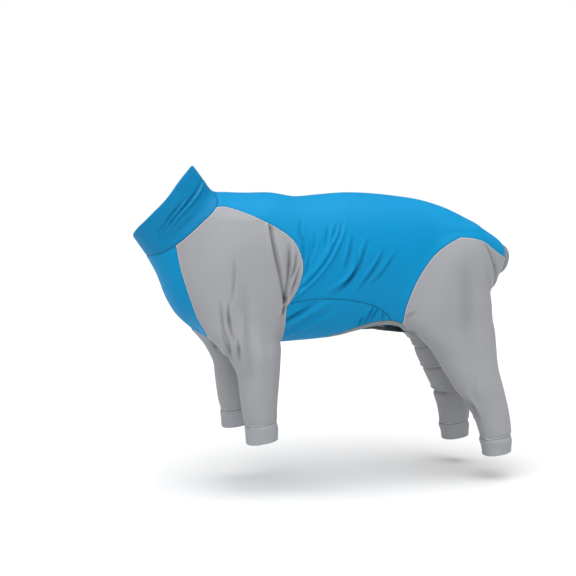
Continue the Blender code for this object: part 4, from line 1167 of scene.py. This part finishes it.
def place_camera():
    """The camera at the photograph's angle."""
    turn, tilt = math.radians(CAMERA_TURN), math.radians(CAMERA_TILT)
    back = Vector((math.sin(turn) * math.cos(tilt), -math.cos(turn) * math.cos(tilt), math.sin(tilt)))
    right = Vector((math.cos(turn), math.sin(turn), 0))
    stand = Matrix((right, back.cross(right), back)).transposed().to_4x4()
    stand.translation = Vector(CAMERA_TARGET) + CAMERA_DISTANCE * back
    data = bpy.data.cameras.new("camera")
    data.sensor_width = 36
    data.lens = CAMERA_LENS
    camera = new_object("camera", data)
    camera.matrix_world = stand
    bpy.context.scene.camera = camera


def place_sun(name, turn, height, strength, softness):
    """A soft light from far away: turn 0 is in front of the suit's left side, height is above the floor."""
    data = bpy.data.lights.new(name, "SUN")
    data.energy = strength
    data.angle = math.radians(softness)
    lamp = new_object(name, data)
    turn, height = math.radians(turn), math.radians(height)
    way = Vector((math.sin(turn) * math.cos(height), -math.cos(turn) * math.cos(height), math.sin(height)))
    lamp.matrix_world = way.to_track_quat("Z", "Y").to_matrix().to_4x4()


def place_surround():
    """A white surround that lights the suit less than it shows."""
    world = bpy.data.worlds.new("studio")
    world.use_nodes = True
    nodes, links = world.node_tree.nodes, world.node_tree.links
    surround = nodes["Background"]
    surround.inputs["Color"].default_value = (1, 1, 1, 1)
    seen = nodes.new("ShaderNodeMapRange")
    seen.inputs["To Min"].default_value = AMBIENT
    links.new(nodes.new("ShaderNodeLightPath").outputs["Is Camera Ray"], seen.inputs["Value"])
    links.new(seen.outputs["Result"], surround.inputs["Strength"])
    bpy.context.scene.world = world


def place_studio():
    """A plain pale floor, a white surround, a soft light from above and a low fill light."""
    bpy.context.scene.view_settings.view_transform = "Standard"
    place_surround()
    place_sun("key", SUN_TURN, SUN_HEIGHT, SUN_STRENGTH, SUN_SOFTNESS)
    place_sun("fill", CAMERA_TURN, FILL_HEIGHT, FILL_STRENGTH, SUN_SOFTNESS / 2)
    shape = bmesh.new()
    bmesh.ops.create_grid(shape, x_segments=2, y_segments=2, size=12)
    mesh = bpy.data.meshes.new("floor")
    shape.to_mesh(mesh)
    shape.free()
    floor = new_object("floor", mesh)
    floor.location = (0, 0, FLOOR_Z)
    paint = bpy.data.materials.new("floor_paint")
    paint.use_nodes = True
    shader = paint.node_tree.nodes["Principled BSDF"]
    shader.inputs["Base Color"].default_value = (FLOOR_TONE, FLOOR_TONE, FLOOR_TONE, 1)
    shader.inputs["Roughness"].default_value = 0.7
    mesh.materials.append(paint)


def build():
    place_camera()
    materials = {name: jersey(name + "_jersey", *values) for name, values in JERSEYS.items()}
    for name, values in JERSEYS.items():
        materials[name + "_thread"] = thread_finish(name + "_thread", values[0])
    cloth = make_skin()
    cut_panels(cloth)
    for row in PANELS:
        make_panel(cloth, row, materials)
    place_studio()


build()
